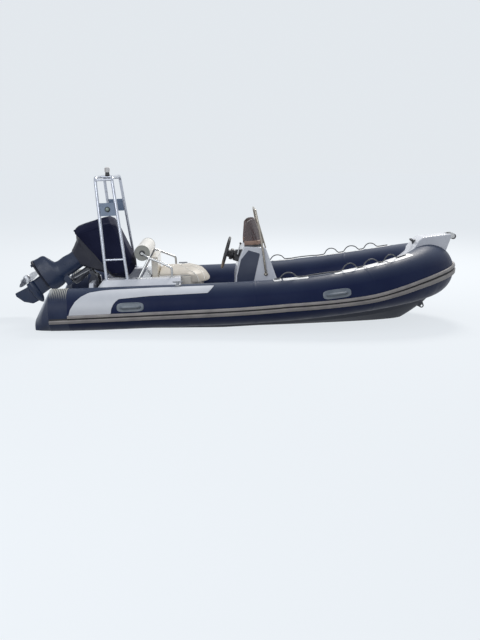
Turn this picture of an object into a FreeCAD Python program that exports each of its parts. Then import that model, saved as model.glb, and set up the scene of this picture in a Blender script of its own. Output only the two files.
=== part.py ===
"""A 5.2 m rigid inflatable boat with a tilted outboard engine, afloat.

Every piece is built in a level frame: X forward, Y to port, Z up, millimetres, with the
keel level and X = 0 near the tips of the stern cones. The finished pieces are then turned
by the floating trim and moved so that the origin lies on the waterline, amidships.
"""
import FreeCAD
import Part
import math
import os

Vector = FreeCAD.Vector

# Floating attitude
TRIM_DEG = 2.6
ORIGIN_X = 2100.0
SEAT_GAP = 0.3

# Inflatable collar
TUBE_R = 250.0
NOSE_R = 320.0
TUBE_HALF_SPACING = 880.0
TUBE_Z = 305.0
NOSE_RISE = 212.0
SHEER_START_X = 2200.0
TUBE_AFT_X = 447.0
BOW_START_X = 3000.0
NOSE_X = 4865.0
BOW_ANGLES = (0, 10, 20, 30, 40, 50, 60, 70, 80, 90)

# Stern cones
CONE_STRAIGHT_X = 226.0
CONE_TIP_X = 32.0
CONE_TIP_Z = 135.0
CONE_TIP_R = 70.0
CONE_OVERLAP = 6.0
WEAR_RIB_COUNT = 10
WEAR_RIB_W = 11.0
WEAR_RIB_T = 5.0

# Skin pieces bonded on the collar
STRAKE_HALF_ANGLE = 10.5
STRAKE_GROOVE_UP = 1.6
STRAKE_T = 28.0
STRAKE_GROOVE_T = 12.0
# along X, the angle of the strake's groove below the tube's equator
STRAKE_LINE = ((230.0, -15.0), (2000.0, -12.5), (3000.0, -10.5), (3550.0, -14.0), (3850.0, -15.5),
               (4000.0, -14.5), (4220.0, -9.5), (4450.0, -3.5), (4660.0, 1.0), (4865.0, 4.0))
PANEL_T = 3.0
PATCH_T = 4.0
PATCH_HALF_W = 58.0
HANDLE_L = 310.0
HANDLE_H = 104.0
HANDLE_PAD_T = 6.0
HANDLE_GRIP_R = 14.0
HANDLE_STAND_OFF = 42.0
ROPE_R = 7.0
ROPE_BEND_R = 20.0
CROWN_LEAN = -5.0

# Rigid hull
HULL_AFT_X = 610.0
DECK_Z = 290.0
DECK_SKIN_T = 8.0
TRANSOM_T = 55.0
TRANSOM_TOP_Z = 540.0
TRANSOM_HALF_W = 440.0

# Stern moulding and bench
MOULD_TOP_Z = 600.0
MOULD_AFT_X = 705.0
MOULD_FORE_X = 1745.0
MOULD_LAP = 240.0
MOULD_HALF_W = TUBE_HALF_SPACING - MOULD_LAP
WELL_HALF_W = 425.0
WELL_FORE_X = 1270.0
BENCH_HALF_W = 450.0
BENCH_AFT_X = 1462.0
BENCH_FORE_X = 2010.0
BENCH_TOP_Z = 592.0
BENCH_FORE_BOW = 155.0
CUSHION_TOP_Z = 668.0
CUSHION_CROWN = 45.0
CUSHION_FORE_X = 2110.0
CUSHION_FORE_BOW = 140.0
CUSHION_FRONT_R = 150.0
CUSHION_LIP_Z = 495.0
BACKBOARD_T = 80.0
BACKBOARD_TOP_Z = 830.0
BACKBOARD_HALF_W = 330.0

# Backrest
ROLL_R = 98.0
ROLL_HALF_L = 480.0
ROLL_X = 1288.0
ROLL_Z = 897.0
RAIL_R = 14.0

# Arch
ARCH_TUBE_R = 19.0
ARCH_FOOT_Y = 575.0
ARCH_TOP_Y = 440.0
ARCH_TOP_Z = 1812.0
ARCH_FORE_FOOT_X = 1104.0
ARCH_FORE_TOP_X = 972.0
ARCH_AFT_FOOT_X = 852.0
ARCH_AFT_TOP_X = 774.0
ARCH_BEND_R = 70.0
ARCH_LOW_RAIL_Z = 838.0
ARCH_HIGH_RAIL_DROP = 26.0
ARCH_FOOT_PAD_R = 36.0
ARCH_PLATE_LOW_Z = 1360.0
ARCH_PLATE_TOP_Z = 1514.0
ARCH_PLATE_T = 5.0
LIGHT_X = 872.0
LIGHT_BASE_H = 42.0

# Console
CONSOLE_HALF_W = 330.0
CONSOLE_TOP_HALF_W = 295.0
CONSOLE_TOP_Z = 905.0
CONSOLE_AFT_X = 2398.0
CONSOLE_FORE_X = 2988.0
HOOP_TOP_Z = 1348.0
HOOP_TOP_X = 2684.0
HOOP_R = 12.5
SCREEN_T = 5.0
SCREEN_TOP_Z = 1232.0
SCREEN_CORNER_R = 84.0
WHEEL_R = 178.0
WHEEL_RIM_R = 15.0
WHEEL_X = 2307.0
WHEEL_Z = 812.0
WHEEL_LEAN = 17.5

# Bow step, roller, bow eye and tow eyes
STEP_FORE_X = 5147.0
ROLLER_X = 5198.0
ROLLER_Z = 908.0
ROLLER_R = 36.0
ROLLER_PIN_R = 7.0
CHEEK_Y = 48.5
BOW_EYE_X = 4780.0
BOW_EYE_REACH = 40.0
BOW_EYE_T = 12.0
BOW_EYE_BORE_R = 13.0
TOW_EYE_Y = 360.0
TOW_EYE_Z = 180.0
TOW_EYE_REACH = 34.0
TOW_EYE_BORE_R = 14.0

# Outboard, in its own upright frame with the tilt tube as origin
TILT_X = 640.0
TILT_Z = 577.0
TILT_REST = 58.0
STEER_U = -130.0
SWIVEL_R = 34.0
STEER_SHAFT_R = 18.0
SWIVEL_TOP = 44.0
SWIVEL_LOW = -262.0
PROP_AXIS_W = -733.0
PROP_PLANE_U = -447.0
PROP_R = 166.0
PROP_PITCH = 480.0
PROP_BLADES = 3
SHAFT_R = 12.0
COVER_T = 6.0
RUNNING_GAP = 0.3


# Small helpers

def v(x, y, z):
    return Vector(x, y, z)


def box(x0, x1, y0, y1, z0, z1):
    return Part.makeBox(x1 - x0, y1 - y0, z1 - z0, v(x0, y0, z0))


def rod(start, end, radius):
    axis = end - start
    return Part.makeCylinder(radius, axis.Length, start, axis)


def polygon(points):
    closed = [v(*p) for p in points]
    return Part.makePolygon(closed + [closed[0]])


def prism_y(points_xz, y0, y1):
    face = Part.Face(polygon([(x, y0, z) for x, z in points_xz]))
    return face.extrude(v(0, y1 - y0, 0))


def prism_z(points_xy, z0, z1):
    face = Part.Face(polygon([(x, y, z0) for x, y in points_xy]))
    return face.extrude(v(0, 0, z1 - z0))


def loft(wires, ruled=True):
    return Part.makeLoft(wires, True, ruled)


def mirrored(shape):
    return shape.mirror(v(0, 0, 0), v(0, 1, 0))


def fused(shapes):
    whole = shapes[0]
    if len(shapes) > 1:
        whole = whole.fuse(shapes[1:])
    return whole.removeSplitter()


def bent_wire(points, bend_r):
    """A line through the points with an arc of the bend radius at each inner point."""
    pts = [v(*p) for p in points]
    edges = []
    start = pts[0]
    for before, corner, after in zip(pts, pts[1:], pts[2:]):
        into = (corner - before).normalize()
        out = (after - corner).normalize()
        half_turn = math.acos(max(-1.0, min(1.0, into.dot(out)))) / 2
        if half_turn < 0.01:
            continue
        setback = bend_r * math.tan(half_turn)
        arc_start = corner - into * setback
        arc_end = corner + out * setback
        inward = (out - into).normalize()
        middle = corner + inward * (bend_r / math.cos(half_turn) - bend_r)
        edges.append(Part.makeLine(start, arc_start))
        edges.append(Part.Arc(arc_start, middle, arc_end).toShape())
        start = arc_end
    edges.append(Part.makeLine(start, pts[-1]))
    return Part.Wire(edges)


def bent_tube(points, radius, bend_r):
    path = bent_wire(points, bend_r)
    first = v(*points[0])
    heading = (v(*points[1]) - first).normalize()
    ring = Part.Wire(Part.makeCircle(radius, first, heading))
    return path.makePipeShell([ring], True, False)


def bored(shape, start, end, radius):
    return shape.cut(rod(start, end, radius))


# The collar's centreline, from the starboard stern round the bow to the port stern

def sheer_z(x):
    share = max(0.0, (x - SHEER_START_X) / (NOSE_X - SHEER_START_X))
    return TUBE_Z + NOSE_RISE * share ** 2


def tube_radius(x):
    share = max(0.0, (x - BOW_START_X) / (NOSE_X - BOW_START_X))
    return TUBE_R + (NOSE_R - TUBE_R) * share ** 2


def half_spacing(x):
    share = max(0.0, min(1.0, (x - BOW_START_X) / (NOSE_X - BOW_START_X)))
    return TUBE_HALF_SPACING * math.sqrt(1.0 - share ** 2)


def station(x, y, slope_x, slope_y):
    """Centre, outward, upward and radius of one cross-section of the collar."""
    rise = (sheer_z(x + 1.0) - sheer_z(x - 1.0)) / 2.0
    heading = v(slope_x, slope_y, rise * slope_x).normalize()
    outward = heading.cross(v(0, 0, 1)).normalize()
    upward = outward.cross(heading)
    return (v(x, y, sheer_z(x)), outward, upward, tube_radius(x))


def starboard_stations(aft_x):
    rows = [station(aft_x, -TUBE_HALF_SPACING, 1.0, 0.0)]
    rows.append(station(SHEER_START_X, -TUBE_HALF_SPACING, 1.0, 0.0))
    rows.append(station((SHEER_START_X + BOW_START_X) / 2, -TUBE_HALF_SPACING, 1.0, 0.0))
    reach = NOSE_X - BOW_START_X
    for degrees in BOW_ANGLES:
        t = math.radians(degrees)
        x = BOW_START_X + reach * math.sin(t)
        y = -TUBE_HALF_SPACING * math.cos(t)
        rows.append(station(x, y, reach * math.cos(t), TUBE_HALF_SPACING * math.sin(t)))
    return rows


def ring_point(row, angle_deg, offset):
    centre, outward, upward, radius = row
    a = math.radians(angle_deg)
    return centre + (outward * math.cos(a) + upward * math.sin(a)) * (radius + offset)


def ring_wire(row, offset):
    centre, outward, upward, radius = row
    heading = outward.cross(upward)
    circle = Part.Circle(v(0, 0, 0), v(0, 0, 1), radius + offset)
    wire = Part.Wire(circle.toShape())
    # columns of the matrix are the ring's own axes: start of the circle, up, normal
    m = FreeCAD.Matrix(
        outward.x, upward.x, heading.x, centre.x,
        outward.y, upward.y, heading.y, centre.y,
        outward.z, upward.z, heading.z, centre.z,
        0, 0, 0, 1)
    wire.Placement = FreeCAD.Placement(m)
    return wire


def half_tube(offset, aft_x=TUBE_AFT_X):
    return loft([ring_wire(row, offset) for row in starboard_stations(aft_x)])


def collar_shape(offset, aft_x=TUBE_AFT_X):
    side = half_tube(offset, aft_x)
    return side.fuse(mirrored(side))


def skin(block, thickness, aft_x=TUBE_AFT_X):
    """What a block cuts from a skin of that thickness on the starboard tube."""
    return block.common(half_tube(thickness, aft_x)).cut(half_tube(SEAT_GAP, aft_x))


# Collar and what is bonded to it

def tube_collar():
    return collar_shape(0.0)


def stern_cone():
    """Straight end sleeve and the drooping cone behind it, starboard."""
    y = -TUBE_HALF_SPACING
    back = v(-1, 0, 0)
    fore = TUBE_AFT_X - SEAT_GAP
    sleeve = rod(v(fore, y, TUBE_Z), v(CONE_STRAIGHT_X, y, TUBE_Z), TUBE_R)
    wide = Part.Wire(Part.makeCircle(TUBE_R, v(CONE_STRAIGHT_X, y, TUBE_Z), back))
    droop = v(CONE_TIP_X - CONE_STRAIGHT_X, 0, CONE_TIP_Z - TUBE_Z)
    tip = Part.Wire(Part.makeCircle(CONE_TIP_R, v(CONE_TIP_X, y, CONE_TIP_Z), droop))
    return fused([sleeve, loft([wide, tip])])


def cone_wear_band():
    """Ribbed wear pads over the top of the starboard cone."""
    y = -TUBE_HALF_SPACING
    length = TUBE_AFT_X - CONE_STRAIGHT_X - 14.0
    step = length / WEAR_RIB_COUNT
    ribs = []
    for i in range(WEAR_RIB_COUNT):
        x = CONE_STRAIGHT_X + 10.0 + i * step
        outer = rod(v(x, y, TUBE_Z), v(x + WEAR_RIB_W, y, TUBE_Z), TUBE_R + WEAR_RIB_T)
        inner = rod(v(x - 1, y, TUBE_Z), v(x + WEAR_RIB_W + 1, y, TUBE_Z), TUBE_R + SEAT_GAP)
        wedge = prism_x_sector(x - 1, x + WEAR_RIB_W + 1, y, TUBE_Z, 35.0, 150.0, 320.0)
        ribs.append(outer.cut(inner).common(wedge))
    return Part.makeCompound(ribs)


def prism_x_sector(x0, x1, y, z, from_deg, to_deg, reach):
    """A sector seen along X, its angles measured from outboard (starboard) upward."""
    corners = [(x0, y, z)]
    steps = 4
    for i in range(steps + 1):
        a = math.radians(from_deg + (to_deg - from_deg) * i / steps)
        corners.append((x0, y - reach * math.cos(a), z + reach * math.sin(a)))
    face = Part.Face(polygon(corners))
    return face.extrude(v(x1 - x0, 0, 0))


def side_panel():
    """The light panel on the outer side of the starboard tube, as a thin bonded skin."""
    outline = [
        (440, 150), (440, 243), (472, 348), (530, 433), (596, 482), (684, 518), (820, 532),
        (935, 537), (1398, 540), (1700, 540), (2131, 538), (2059, 471), (1748, 467), (1402, 464),
        (1172, 451), (1034, 446), (965, 384), (937, 282), (937, 150)]
    shifted = [(x + 10.0, z) for x, z in outline]
    block = prism_y(shifted, -TUBE_HALF_SPACING - 2 * TUBE_R, -TUBE_HALF_SPACING - 60.0)
    return skin(block, PANEL_T).cut(strake_footprint())


def strake_wire(row, centre_deg):
    half = STRAKE_HALF_ANGLE
    up = STRAKE_GROOVE_UP
    # angle from the strake's centre, height over the tube
    outer = (
        (-half, 5.0), (-half + 1.6, STRAKE_T - 2), (up - 2.8, STRAKE_T), (up - 2.0, STRAKE_GROOVE_T),
        (up + 2.0, STRAKE_GROOVE_T), (up + 2.8, STRAKE_T), (half - 1.6, STRAKE_T - 2), (half, 5.0))
    inner = [(half - i * half / 3, 2 * SEAT_GAP) for i in range(7)]
    points = [ring_point(row, centre_deg + a, h) for a, h in list(outer) + inner]
    return Part.makePolygon(points + [points[0]])


def strake_angle(x):
    """The angle of the strake's middle, a little below its groove."""
    for (x0, a0), (x1, a1) in zip(STRAKE_LINE, STRAKE_LINE[1:]):
        if x <= x1:
            return a0 + (a1 - a0) * (x - x0) / (x1 - x0) - STRAKE_GROOVE_UP
    return STRAKE_LINE[-1][1] - STRAKE_GROOVE_UP


def half_strake():
    rows = starboard_stations(CONE_STRAIGHT_X + 4.0)
    return loft([strake_wire(row, strake_angle(row[0].x)) for row in rows])


def rub_strake():
    side = half_strake()
    return fused([side, mirrored(side)])


def strake_footprint():
    """The band of tube under the strake on the straight part, to trim what ends against it."""
    y = -TUBE_HALF_SPACING
    x1 = SHEER_START_X
    edge = strake_angle(SHEER_START_X) + STRAKE_HALF_ANGLE
    aft_edge = strake_angle(TUBE_AFT_X) + STRAKE_HALF_ANGLE
    corners = []
    for x, angle in ((TUBE_AFT_X - 20, aft_edge), (x1, edge)):
        corners.append((x, TUBE_Z + (TUBE_R + 2) * math.sin(math.radians(angle)) + 1.0))
    corners += [(x1, TUBE_Z - TUBE_R), (TUBE_AFT_X - 20, TUBE_Z - TUBE_R)]
    return prism_y(corners, y - 2 * TUBE_R, y)


def handle_rows():
    # centre x, centre height on the tube side
    return ((1171.0, 350.0), (3532.0, 404.0))


def handle_slope(x):
    return (sheer_z(x + 100) - sheer_z(x - 100)) / 200


def carry_handles():
    """Two moulded lozenge handles on the starboard tube: a bonded pad and a raised grip."""
    solids = []
    for x, z in handle_rows():
        y_mid = half_spacing(x)
        half_l = HANDLE_L / 2
        half_h = HANDLE_H / 2
        cut = half_h * 0.7
        outline = [
            (-half_l, -half_h + cut), (-half_l + cut, -half_h), (half_l - cut, -half_h),
            (half_l, -half_h + cut), (half_l, half_h - cut), (half_l - cut, half_h),
            (-half_l + cut, half_h), (-half_l, half_h - cut)]
        slope = handle_slope(x)
        placed = [(x + px, z + pz + slope * px) for px, pz in outline]
        block = prism_y(placed, -y_mid - 2 * TUBE_R, -y_mid)
        pad = skin(block, HANDLE_PAD_T)
        grip = bent_tube(grip_points(x, z), HANDLE_GRIP_R, 18.0)
        solids.append(fused([pad, grip.cut(half_tube(HANDLE_PAD_T / 2))]))
    return Part.makeCompound(solids)


def side_point(x, z, offset):
    """The point on the starboard tube's outer side at that x and height."""
    y_mid = half_spacing(x)
    radius = tube_radius(x)
    rise = z - sheer_z(x)
    return v(x, -y_mid - math.sqrt(radius ** 2 - rise ** 2) - offset, z)


def grip_points(x, z):
    reach = HANDLE_L / 2 - 45.0
    stations = ((-reach, -6.0), (-reach + 26.0, HANDLE_STAND_OFF),
                (reach - 26.0, HANDLE_STAND_OFF), (reach, -6.0))
    points = []
    for dx, offset in stations:
        p = side_point(x + dx, z + handle_slope(x) * dx, offset)
        points.append((p.x, p.y, p.z))
    return points


def patch_rows():
    # from x, to x of each holder patch along the top of the tube
    return ((2850, 2940), (3120, 3250), (3560, 3690), (3850, 3950), (4120, 4210), (4350, 4500))


def loop_rows():
    # from x, to x and height of each loop of the grab line between two patches
    return ((2940, 3120, 62), (3250, 3560, 7), (3690, 3850, 68), (3950, 4120, 62), (4210, 4350, 58))


def crown_row(x):
    share = min(1.0, max(0.0, (x - BOW_START_X) / (NOSE_X - BOW_START_X)))
    t = math.asin(share)
    reach = NOSE_X - BOW_START_X
    y = -TUBE_HALF_SPACING * math.cos(t)
    if share > 0:
        return station(x, y, reach * math.cos(t), TUBE_HALF_SPACING * math.sin(t))
    return station(x, -TUBE_HALF_SPACING, 1.0, 0.0)


def crown_point(x, lean_deg, height):
    """A point over the top of the starboard tube, leaning inboard by that angle."""
    return ring_point(crown_row(x), 90.0 + lean_deg, height)


def grab_patches():
    patches = []
    for x0, x1 in patch_rows():
        lower = []
        upper = []
        for x in (x0, (x0 + x1) / 2, x1):
            p = crown_point(x, CROWN_LEAN, 0.0)
            outward = crown_row(x)[1] * PATCH_HALF_W
            lower.append((p.x + outward.x, p.y + outward.y))
            upper.append((p.x - outward.x, p.y - outward.y))
        block = prism_z(lower + upper[::-1], 400.0, 1000.0)
        patches.append(skin(block, PATCH_T))
    return Part.makeCompound(patches)


def lifted_onto(point, shape):
    """That point moved straight up or down onto the top of a shape."""
    upright = Part.makeLine(v(point.x, point.y, 0), v(point.x, point.y, 1500))
    hits = upright.common(shape).Vertexes
    return v(point.x, point.y, max(hit.Z for hit in hits))


def grab_line():
    """The grab line on the starboard tube: over each patch and in a loop between patches."""
    clear = half_tube(PATCH_T + ROPE_R + 2 * SEAT_GAP)
    points = []
    for (x0, x1), loop in zip(patch_rows(), loop_rows() + (None,)):
        for x in (x0 + 10.0, (x0 + x1) / 2, x1 - 10.0):
            points.append(lifted_onto(crown_point(x, CROWN_LEAN, 0.0), clear))
        if loop:
            a, b, height = loop
            for share in (0.2, 0.5, 0.8):
                lift = height if share == 0.5 else height * 0.72
                x = a + (b - a) * share
                points.append(crown_point(x, CROWN_LEAN, PATCH_T + ROPE_R + lift))
    return bent_tube([(p.x, p.y, p.z) for p in points], ROPE_R, ROPE_BEND_R)


# Rigid hull, deck and transom

def hull_rows():
    # x, keel z, chine half-width, chine z, deck z
    return (
        (HULL_AFT_X, -232, 680, -12, DECK_Z),
        (2400, -236, 680, 0, DECK_Z),
        (3200, -228, 655, 15, DECK_Z),
        (3800, -214, 580, 34, DECK_Z),
        (4200, -188, 468, 58, 350),
        (4450, -142, 360, 84, 430),
        (4600, -66, 275, 106, 460),
        (4740, 24, 190, 140, 490),
        (4860, 118, 105, 186, 510),
        (4935, 222, 40, 246, 520))


def hull_wire(row):
    x, keel_z, chine_y, chine_z, deck_z = row
    gun_y = max(60.0, half_spacing(x) - 40.0)
    gun_z = sheer_z(x) - tube_radius(x) + 8.0
    top_y = max(40.0, half_spacing(x) - 90.0)
    step = 42.0
    starboard = [
        (x, -top_y, deck_z), (x, -gun_y, gun_z), (x, -chine_y - step, chine_z - 4),
        (x, -chine_y, chine_z)]
    port = [(px, -py, pz) for px, py, pz in starboard[::-1]]
    return polygon(starboard + [(x, 0, keel_z)] + port)


def hull():
    body = loft([hull_wire(row) for row in hull_rows()])
    return body.cut(collar_shape(SEAT_GAP))


def deck_edge(x, gap):
    rise = DECK_Z + DECK_SKIN_T / 2 - sheer_z(x)
    return half_spacing(x) - math.sqrt(tube_radius(x) ** 2 - rise ** 2) - gap


def cockpit_deck():
    """Non-slip deck skin between the tubes, from the bench to the bow locker."""
    aft_x = MOULD_FORE_X + 5.0
    xs = (aft_x, 2400.0, 3000.0, 3400.0, 3780.0)
    side = [(x, deck_edge(x, 14.0)) for x in xs]
    outline = side + [(x, -y) for x, y in side[::-1]]
    skin_plate = prism_z(outline, DECK_Z, DECK_Z + DECK_SKIN_T)
    bench_hole = prism_z([(aft_x - 10, -BENCH_HALF_W - 1), *bench_front_line(1.0),
                          (aft_x - 10, BENCH_HALF_W + 1)], DECK_Z - 10, DECK_Z + 50)
    console_hole = box(CONSOLE_AFT_X - 1, CONSOLE_FORE_X + 1, -CONSOLE_HALF_W - 1,
                       CONSOLE_HALF_W + 1, DECK_Z - 10, DECK_Z + 50)
    return skin_plate.cut(bench_hole).cut(console_hole)


def transom_board():
    x0 = HULL_AFT_X
    x1 = HULL_AFT_X + TRANSOM_T
    board = box(x0, x1, -TRANSOM_HALF_W, TRANSOM_HALF_W, DECK_Z, TRANSOM_TOP_Z)
    corner = 60.0
    for side in (-1, 1):
        edge = side * TRANSOM_HALF_W
        board = board.cut(Part.Face(polygon([
            (x0 - 1, edge + side, TRANSOM_TOP_Z + 1),
            (x0 - 1, edge - side * corner, TRANSOM_TOP_Z + 1),
            (x0 - 1, edge + side, TRANSOM_TOP_Z - corner)])).extrude(v(TRANSOM_T + 2, 0, 0)))
    return board


# Stern moulding, bench, backrest

def stern_moulding():
    """The white moulding round the engine well, lapping onto both tubes."""
    section = [
        (-MOULD_HALF_W - 110, TUBE_Z + 195), (-MOULD_HALF_W + 20, MOULD_TOP_Z),
        (MOULD_HALF_W - 20, MOULD_TOP_Z), (MOULD_HALF_W + 110, TUBE_Z + 195),
        (MOULD_HALF_W + 60, DECK_Z), (-MOULD_HALF_W - 60, DECK_Z)]
    face = Part.Face(polygon([(MOULD_AFT_X, y, z) for y, z in section]))
    body = face.extrude(v(MOULD_FORE_X - MOULD_AFT_X, 0, 0))
    slope = prism_y([(MOULD_AFT_X - 1, 470), (MOULD_AFT_X + 108, MOULD_TOP_Z + 1),
                     (MOULD_AFT_X - 1, MOULD_TOP_Z + 1)], -900, 900)
    body = body.cut(slope)
    well = box(MOULD_AFT_X - 1, WELL_FORE_X, -WELL_HALF_W, WELL_HALF_W, DECK_Z + 20, 900)
    body = body.cut(well)
    behind_bench = box(BENCH_AFT_X - BACKBOARD_T - 12, MOULD_FORE_X + 1, -BENCH_HALF_W - 4,
                       BENCH_HALF_W + 4, DECK_Z - 1, 900)
    body = body.cut(behind_bench)
    return body.cut(collar_shape(SEAT_GAP))


def bench_rows():
    # how far across the bench each section stands, as a share of its half-width
    return (-1.0, -0.88, -0.74, -0.56, -0.3, 0.0, 0.3, 0.56, 0.74, 0.88, 1.0)


def bench_front(share):
    """The bench's fore face, which bows forward in the middle."""
    return BENCH_FORE_X - BENCH_FORE_BOW * abs(share) ** 3


def bench_front_line(gap):
    side = BENCH_HALF_W + gap
    return [(bench_front(share) + gap, share * side) for share in bench_rows()]


def bench_base():
    """The bench pedestal, bowed in front, with its raised back board."""
    plan = [(BENCH_AFT_X, -BENCH_HALF_W), *bench_front_line(0.0), (BENCH_AFT_X, BENCH_HALF_W)]
    box_part = prism_z(plan, DECK_Z, BENCH_TOP_Z)
    board = box(BENCH_AFT_X - BACKBOARD_T, BENCH_AFT_X, -BACKBOARD_HALF_W, BACKBOARD_HALF_W,
                DECK_Z, BACKBOARD_TOP_Z)
    board = board.makeFillet(22.0, [e for e in board.Edges if top_edge(e, BACKBOARD_TOP_Z)])
    return fused([box_part, board])


def top_edge(edge, z):
    return all(abs(vertex.Z - z) < 0.1 for vertex in edge.Vertexes)


def cushion_section(share):
    """The cushion's side view at one place across the bench, crowned and rolled over in front."""
    top = CUSHION_TOP_Z - CUSHION_CROWN * abs(share) ** 2.2
    front = CUSHION_FORE_X - CUSHION_FORE_BOW * abs(share) ** 2.4
    radius = min(CUSHION_FRONT_R, top - CUSHION_LIP_Z - 5.0)
    x0 = BENCH_AFT_X + 2
    z0 = BENCH_TOP_Z + SEAT_GAP
    wall = bench_front(share) + SEAT_GAP
    line = [(x0, z0), (x0, top - 20), (x0 + 20, top)]
    for degrees in (90, 70, 50, 30, 12, 0):
        a = math.radians(degrees)
        line.append((front - radius + radius * math.cos(a), top - radius + radius * math.sin(a)))
    line += [(front, CUSHION_LIP_Z), (wall, CUSHION_LIP_Z), (wall, z0)]
    return polygon([(x, share * BENCH_HALF_W, z) for x, z in line])


def bench_cushion():
    """Seat cushion, crowned across, with a rolled waterfall front that follows the bench."""
    return loft([cushion_section(share) for share in bench_rows()])


def backrest_frame():
    """Bent stainless rails from the moulding up to the ends of the backrest roll."""
    parts = []
    end_y = ROLL_HALF_L + 26
    parts.append(rod(v(ROLL_X, -end_y, ROLL_Z), v(ROLL_X, end_y, ROLL_Z), RAIL_R))
    for side in (-1, 1):
        fore = [(ROLL_X, side * end_y, ROLL_Z), (1369, side * end_y, 837), (1500, side * 520, 784),
                (1640, side * 565, 716), (1642, side * 570, MOULD_TOP_Z)]
        parts.append(bent_tube(fore, RAIL_R, 30.0))
        parts.append(rod(v(1372, side * end_y, 834), v(1238, side * 560, MOULD_TOP_Z), RAIL_R))
        for x, y in ((1642, 570), (1238, 560)):
            parts.append(rod(v(x, side * y, MOULD_TOP_Z), v(x, side * y, MOULD_TOP_Z + 6), 32.0))
    whole = fused(parts)
    below = box(1000, 1900, -900, 900, MOULD_TOP_Z - 200, MOULD_TOP_Z)
    return whole.cut(below)


def backrest_roll():
    roll = rod(v(ROLL_X, -ROLL_HALF_L, ROLL_Z), v(ROLL_X, ROLL_HALF_L, ROLL_Z), ROLL_R)
    roll = roll.makeFillet(12.0, roll.Edges[0:1] + roll.Edges[2:3])
    return bored(roll, v(ROLL_X, -ROLL_HALF_L - 1, ROLL_Z), v(ROLL_X, ROLL_HALF_L + 1, ROLL_Z),
                 RAIL_R + SEAT_GAP)


# Arch with its plates and lights

def hoop(foot_x, top_x):
    points = [
        (foot_x, -ARCH_FOOT_Y, MOULD_TOP_Z), (top_x, -ARCH_TOP_Y, ARCH_TOP_Z),
        (top_x, ARCH_TOP_Y, ARCH_TOP_Z), (foot_x, ARCH_FOOT_Y, MOULD_TOP_Z)]
    return bent_tube(points, ARCH_TUBE_R, ARCH_BEND_R)


def post_at(foot_x, top_x, side, z):
    """Where an arch post's axis crosses that height."""
    share = (z - MOULD_TOP_Z) / (ARCH_TOP_Z - MOULD_TOP_Z)
    x = foot_x + (top_x - foot_x) * share
    y = ARCH_FOOT_Y + (ARCH_TOP_Y - ARCH_FOOT_Y) * share
    return v(x, side * y, z)


def arch_frame():
    parts = [hoop(ARCH_FORE_FOOT_X, ARCH_FORE_TOP_X), hoop(ARCH_AFT_FOOT_X, ARCH_AFT_TOP_X)]
    for side in (-1, 1):
        # height, how far inboard of the straight post, radius
        for z, inboard, radius in ((ARCH_LOW_RAIL_Z, 0.0, 12.0),
                                   (ARCH_TOP_Z - ARCH_HIGH_RAIL_DROP, 11.0, 12.0)):
            aft = post_at(ARCH_AFT_FOOT_X, ARCH_AFT_TOP_X, side, z)
            fore = post_at(ARCH_FORE_FOOT_X, ARCH_FORE_TOP_X, side, z)
            shift = v(0, -side * inboard, 0)
            parts.append(rod(aft + shift, fore + shift, radius))
        for x in (ARCH_FORE_FOOT_X, ARCH_AFT_FOOT_X):
            foot = v(x, side * ARCH_FOOT_Y, MOULD_TOP_Z)
            parts.append(rod(foot, foot + v(0, 0, 7), ARCH_FOOT_PAD_R))
    parts.append(rod(v(ARCH_AFT_TOP_X, 0, ARCH_TOP_Z), v(ARCH_FORE_TOP_X, 0, ARCH_TOP_Z), 14.0))
    whole = fused(parts)
    below = box(700, 1300, -900, 900, MOULD_TOP_Z - 200, MOULD_TOP_Z)
    return whole.cut(below)


def arch_plate(side):
    """Flat plate between the two posts of one side, in the plane of their axes."""
    corners = []
    reach = (ARCH_TUBE_R + SEAT_GAP) * 1.008
    for foot_x, top_x, dx, z in (
            (ARCH_AFT_FOOT_X, ARCH_AFT_TOP_X, reach, ARCH_PLATE_LOW_Z),
            (ARCH_FORE_FOOT_X, ARCH_FORE_TOP_X, -reach, ARCH_PLATE_LOW_Z),
            (ARCH_FORE_FOOT_X, ARCH_FORE_TOP_X, -reach, ARCH_PLATE_TOP_Z),
            (ARCH_AFT_FOOT_X, ARCH_AFT_TOP_X, reach, ARCH_PLATE_TOP_Z)):
        p = post_at(foot_x, top_x, side, z)
        corners.append((p.x + dx, p.y, p.z))
    lean = math.atan2(ARCH_FOOT_Y - ARCH_TOP_Y, ARCH_TOP_Z - MOULD_TOP_Z)
    normal = v(0, side * math.cos(lean), math.sin(lean))
    face = Part.Face(polygon(corners))
    return face.extrude(normal * ARCH_PLATE_T)


def plate_centre(side):
    z = (ARCH_PLATE_LOW_Z + ARCH_PLATE_TOP_Z) / 2
    aft = post_at(ARCH_AFT_FOOT_X, ARCH_AFT_TOP_X, side, z)
    fore = post_at(ARCH_FORE_FOOT_X, ARCH_FORE_TOP_X, side, z)
    middle = (aft + fore) * 0.5
    lean = math.atan2(ARCH_FOOT_Y - ARCH_TOP_Y, ARCH_TOP_Z - MOULD_TOP_Z)
    normal = v(0, side * math.cos(lean), math.sin(lean))
    return middle + normal * ARCH_PLATE_T, normal


def side_light(side):
    centre, normal = plate_centre(side)
    start = centre + normal * SEAT_GAP
    base = rod(start, start + normal * 16, 32.0)
    lens = Part.makeCone(25.0, 19.0, 16.0, start + normal * 14, normal)
    return fused([base, lens])


def light_base():
    z = ARCH_TOP_Z + 14.0 + SEAT_GAP
    return Part.makeCone(30.0, 24.0, LIGHT_BASE_H, v(LIGHT_X, 0, z), v(0, 0, 1))


def light_lens():
    z = ARCH_TOP_Z + 14.0 + 2 * SEAT_GAP + LIGHT_BASE_H
    lens = Part.makeCylinder(34.0, 62.0, v(LIGHT_X, 0, z), v(0, 0, 1))
    return lens.makeFillet(8.0, [e for e in lens.Edges if len(e.Vertexes) == 1])


# Console and controls

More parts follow.
